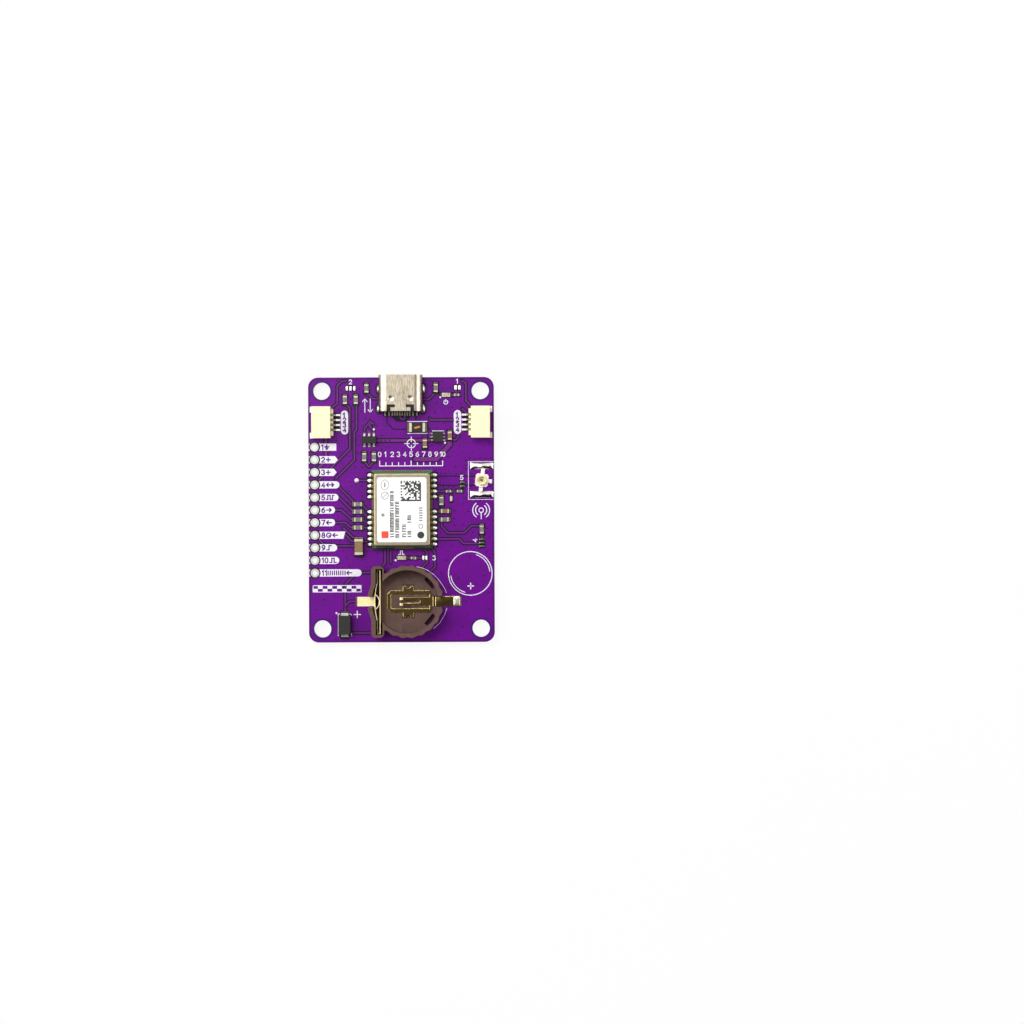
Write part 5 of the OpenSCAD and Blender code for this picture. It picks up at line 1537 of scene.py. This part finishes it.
@dataclass
class AerialSocket:
    """Small coaxial aerial socket on its two tinned lands."""

    part: Part
    land_w: float = 1.35
    land_h: float = 0.34
    crest: float = -0.2
    leg_top: float = 2.15

    def land(self, length: float) -> Surface:
        """Pool of solder on a land: a grid over the land, drawn up to the leg in its middle.

        With x and y from -1 to 1 over the land, t runs from -1 to 1 with y and is 0 at the crest. The height
        is land_h (1 - x^10) (1 - |t|^2.2) (0.8 + 0.35 exp(-(x / 0.22)^2)), over a flat underside.

        Args:
            length: Length of the land along X.

        Returns:
            A closed surface.
        """
        low = self.part.over(0)[0]
        steps = np.sin(np.linspace(-math.pi / 2, math.pi / 2, 25))
        x, y = np.meshgrid(steps, steps, indexing="ij")
        t = (y - self.crest) / (1 - self.crest * np.sign(y - self.crest))
        rise = self.land_h * (1 - x ** 10) * (1 - np.abs(t) ** 2.2) * (0.8 + 0.35 * np.exp(-(x / 0.22) ** 2))
        levels = [np.stack([x * length / 2, y * self.land_w / 2, low + h], -1).reshape(-1, 3)
                  for h in (rise, 0 * rise)]
        faces = grid_faces(len(steps), len(steps))
        return Surface(np.vstack(levels), np.vstack([faces, faces[:, ::-1] + len(levels[0])]))

    def build(self) -> None:
        """Adds the two lands of solder in place of the flat ones."""
        low, high = self.part.box("aerial_lands")
        x, half = (low[0] + high[0]) / 2, self.land_w / 2
        lands = self.land(high[0] - low[0]).repeated([(x, high[1] - half), (x, low[1] + half)])
        self.part.add("aerial_land_solder", [lands], SMOOTH_TIN, "bright_tin", True, ("aerial_lands",))

    def dress(self) -> None:
        """White base, gold ring and pin."""
        self.part.dress("aerial_base", WHITE_MOULDING)
        self.part.dress("aerial_ring", PALE_GOLD, SATIN_TIN, choose=lambda c, n: c[:, 2] < self.leg_top)
        self.part.dress("aerial_pin", GOLD, PALE_GOLD, choose=lambda c, n: n[:, 2] < UPRIGHT)


# Coin holder

@dataclass
class CoinHolder:
    """Coin cell holder with its two sprung contacts."""

    part: Part
    rounding: float = 0.045
    contact_rounding: float = 0.08
    ramp_l: float = 6.2
    tip_h: float = 0.22
    tab_half: Point = (0.75, 1.08)
    tab_inset: float = 0.7
    tab_levels: Point = (0.14, 0.3)
    well_x: float = 1.2
    window_r: float = 1.1
    window_out: float = 5.6
    window_turn: float = 0.69

    def dress(self) -> None:
        """Brown moulding and gold contacts, with a satin tab on the left, and a base contact painted darker
        as shade, most of all on its ramp on the right.
        """
        part = self.part
        part.dress("battery_holder", BROWN)
        part.soften("battery_holder", "coin_holder_moulding", self.rounding, "brown_moulding")
        part.dress("battery_side_contact", GOLD, SATIN_GOLD, choose=lambda c, n: n[:, 2] > UPRIGHT)
        high = part.box("battery_base_contact")[1]
        ramp, tip = high[0] - self.ramp_l, high[2] - self.tip_h
        part.dress("battery_base_contact", BASE_GOLD, SATIN_GOLD, RAMP_SHADE_GOLD, RIM_GOLD,
                   choose=lambda c, n: np.where(c[:, 0] > ramp, 2, c[:, 2] > tip))
        part.soften("battery_base_contact", "coin_base_spring", self.contact_rounding, "gold_flash", rim=3)

    def build(self) -> None:
        """Solder over the end of the right tab, and shaded mask under the windows of the floor."""
        part = self.part
        low, high = part.box("battery_base_contact")
        under, over = np.array(self.tab_levels) + part.top("circuit_board")
        end = pool(*self.tab_half, under, over, square=7, crown=5)
        place = (high[0] - self.tab_inset, (low[1] + high[1]) / 2)
        part.add("holder_tab_solder", [end.repeated([place])], CAP_TIN, "bright_tin", True)
        low, high = part.box("battery_holder")
        x, y, r = self.well_x, (low[1] + high[1]) / 2, self.window_out
        windows = [(x + r * math.cos(a), y + r * math.sin(a)) for a in (-self.window_turn, self.window_turn)]
        dark = spot(self.window_r, self.window_r, *part.patch(Layer.WINDOW_SHADE)).repeated(windows)
        part.add("holder_window_shade", [dark], SHADED_MASK, "purple_solder_mask")


# Moulded packages and chips

@dataclass
class Packages:
    """Surge protector, regulator and diode."""

    part: Part
    rounding: float = 0.06

    def dress(self) -> None:
        """Black bodies and tinned leads."""
        for name, leads in (("surge_protector", TIN), ("regulator", TIN), ("diode", PLATED_TIN)):
            self.part.dress(f"{name}_body", BLACK_MOULDING)
            self.part.soften(f"{name}_body", f"{name}_moulding", self.rounding, "black_moulding")
            self.part.dress(f"{name}_leads", leads)


@dataclass
class Chips:
    """Chip resistors, capacitors, inductor, fuse and lights with their solder.

    Each kind, the first word of a node's name, has the length of its metal ends and the finishes of its upper
    face and of its sides.
    """

    part: Part
    kinds: dict[str, tuple[float, Finish, Finish]] = field(default_factory=lambda: {
        "resistor": (0.3, GLAZE, ALUMINA), "small": (0.22, GLAZE, ALUMINA),
        "capacitor": (0.3, BROWN_CERAMIC, BROWN_CERAMIC), "bulk": (0.5, TAN_CERAMIC, TAN_CERAMIC),
        "inductor": (0.22, PALE_CERAMIC, PALE_CERAMIC), "fuse": (0.5, BLACK_MOULDING, BLACK_MOULDING),
        "power": (0.3, CLEAR_EPOXY, CLEAR_EPOXY), "signal": (0.3, CLEAR_EPOXY, CLEAR_EPOXY)})
    mark_half: Point = (0.4, 0.1)
    mark_w: float = 0.42
    mark_sink: float = 0.02
    mark_h: float = 0.01

    def rule(self, node: str, end: float) -> FaceRule:
        """Slots of a chip's faces: 0 on its metal ends, 1 on its upper face and 2 on its sides.

        Args:
            node: Name of the chip's node.
            end: Length of a metal end.

        Returns:
            A rule for the faces.
        """
        low, high = self.part.box(node)
        long = int((high - low)[1] > (high - low)[0])
        middle, half = ((low + high) / 2)[long], ((high - low) / 2)[long]

        def choose(centres: Array, normals: Array) -> Array:
            """Looks at how far a face is from the chip's middle and which way it points."""
            at_end = np.abs(centres[:, long] - middle) > half - end - NEAR
            return np.where(at_end, 0, np.where(normals[:, 2] > UPRIGHT, 1, 2))

        return choose

    def dress(self) -> None:
        """Tin on the ends of each chip, and its own film or ceramic between them."""
        for node in self.part.nodes:
            kind = node.split("_")[0]
            if kind in self.kinds:
                end, *finishes = self.kinds[kind]
                self.part.dress(node, CAP_TIN, *finishes, choose=self.rule(node, end))
        self.part.dress("chip_solder", FILLET_TIN)

    def build(self) -> None:
        """Adds the plain orange bar printed on the fuse."""
        low, high = self.part.box("fuse")
        (x, y), z = ((low + high) / 2)[:2], high[2] - self.mark_sink
        hx, hy = self.mark_half
        bar = stroke(line((x - hx, y - hy), (x + hx, y + hy)), self.mark_w, z - SINK, z + self.mark_h)
        self.part.add("fuse_mark", [bar], ORANGE_PRINT, "black_moulding")


# Studio

@dataclass
class Studio:
    """Floor, light and camera. A soft box is given by its name, place, size and power.

    The front card is given by its lowest x and y, its highest x and y, and its lowest and highest z.
    """

    floor_half: float = 1500.0
    floor_levels: Point = (-1.0, -0.05)
    camera_place: tuple[float, float, float] = (22.32, -0.55, 601.6)
    camera_roll: float = -0.24
    lens: float = 104.5
    ambient: float = 0.34
    card_middle: Point = (168.0, -168.0)
    card_half: float = 400.0
    card_levels: Point = (760.0, 762.0)
    front_card: tuple[float, ...] = (-500.0, -421.0, 500.0, -420.0, 40.0, 900.0)
    wall_r: float = 900.0
    wall_t: float = 2.0
    wall_levels: Point = (20.0, 300.0)
    boxes: tuple[tuple[str, tuple[float, float, float], float, float], ...] = (
        ("back_box", (-250, 330, 650), 360, 3.4),
        ("left_box", (-560, 80, 360), 420, 2.1),
        ("right_box", (560, 60, 360), 420, 1.3),
    )

    def stage(self, name: str, surface: Surface, finish: Finish) -> bpy.types.Object:
        """Adds a stage piece, which isn't part of the object.

        Args:
            name: Name of the piece.
            surface: Its shape.
            finish: Its finish.

        Returns:
            The new object.
        """
        obj = new_object(name, surface.mesh(name, False))
        obj.data.materials.append(finish.material())
        return obj

    def build_floor(self) -> None:
        """Pale floor just under the board, and dark cards that only mirrors see.

        The overhead card is a square on its corner, so that its edge faces the back left. The low wall is a
        ring: circles of two radii, closed by repeating their first points.
        """
        half = self.floor_half
        pale = Backdrop("white_seamless_paper", "#f5f5f5", "#f2f2f2", 0.8, mottle_mm=60.0, grain_mm=2.0,
                        specular=0.0)
        self.stage("floor", block(-half, -half, half, half, *self.floor_levels), pale)
        black = Finish("black_studio_card", "#0c0c0c", "#101010", 0.9, mottle_mm=40.0, specular=0.0)
        (x, y), half = self.card_middle, self.card_half
        card = np.array([[[x - half, y], [x, y + half]], [[x, y - half], [x + half, y]]])
        wall = np.stack([ring_path(0, 0, r, 64) for r in (self.wall_r, self.wall_r + self.wall_t)], 1)
        cards = {"overhead_card": slab(card, *self.card_levels), "front_card": block(*self.front_card),
                 "low_wall": slab(np.concatenate([wall, wall[:1]]), *self.wall_levels)}
        for name, surface in cards.items():
            obj = self.stage(name, surface, black)
            obj.visible_camera = obj.visible_diffuse = obj.visible_shadow = False

    def build_light(self) -> None:
        """White world that the camera and mirrors see, dimmer as light, and three soft boxes."""
        world = bpy.data.worlds.new("white_surround")
        bpy.context.scene.world = world
        world.use_nodes = True
        tree = world.node_tree
        tree.nodes.clear()
        strength = add_node(tree, "ShaderNodeMapRange", {
            "Value": seen_by_eye(tree), "To Min": self.ambient, "To Max": 1.0})
        sky = add_node(tree, "ShaderNodeBackground", {
            "Color": linear("#ffffff"), "Strength": strength.outputs[0]})
        add_node(tree, "ShaderNodeOutputWorld", {"Surface": sky.outputs[0]})
        for name, place, size, power in self.boxes:
            lamp = bpy.data.lights.new(name, "AREA")
            lamp.size, lamp.energy = size * MM, power
            obj = new_object(name, lamp)
            obj.location = np.array(place) * MM
            away = np.array(place) / np.linalg.norm(place)
            obj.rotation_euler = (math.acos(away[2]), 0, math.atan2(away[0], -away[1]))

    def build_camera(self) -> None:
        """Camera straight above, with the board where the photograph has it."""
        camera = bpy.data.cameras.new("camera")
        camera.lens, camera.sensor_width = self.lens, 36.0
        obj = new_object("camera", camera)
        obj.location = np.array(self.camera_place) * MM
        obj.rotation_euler = (0, 0, math.radians(self.camera_roll))
        bpy.context.scene.camera = obj

    def build(self) -> None:
        """Sets the view to plain colours and builds the stage."""
        bpy.context.scene.view_settings.view_transform = "Standard"
        self.build_floor()
        self.build_light()
        self.build_camera()


def main() -> None:
    """Builds and dresses each sub-assembly in order."""
    logging.basicConfig(level=logging.INFO, format="%(name)s: %(message)s")
    for obj in list(bpy.data.objects):
        bpy.data.objects.remove(obj)
    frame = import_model()
    part = Part(frame["nodes"])
    board = CircuitBoard(part)
    board.build()
    board.build_pads()
    board.dress()
    Print(part, board).build()
    for assembly in (Port(part), Receiver(part), AerialSocket(part), CoinHolder(part), Chips(part)):
        assembly.build()
        assembly.dress()
    for assembly in (SideSockets(part), Packages(part)):
        assembly.dress()
    Studio().build()


if __name__ == "__main__":
    main()
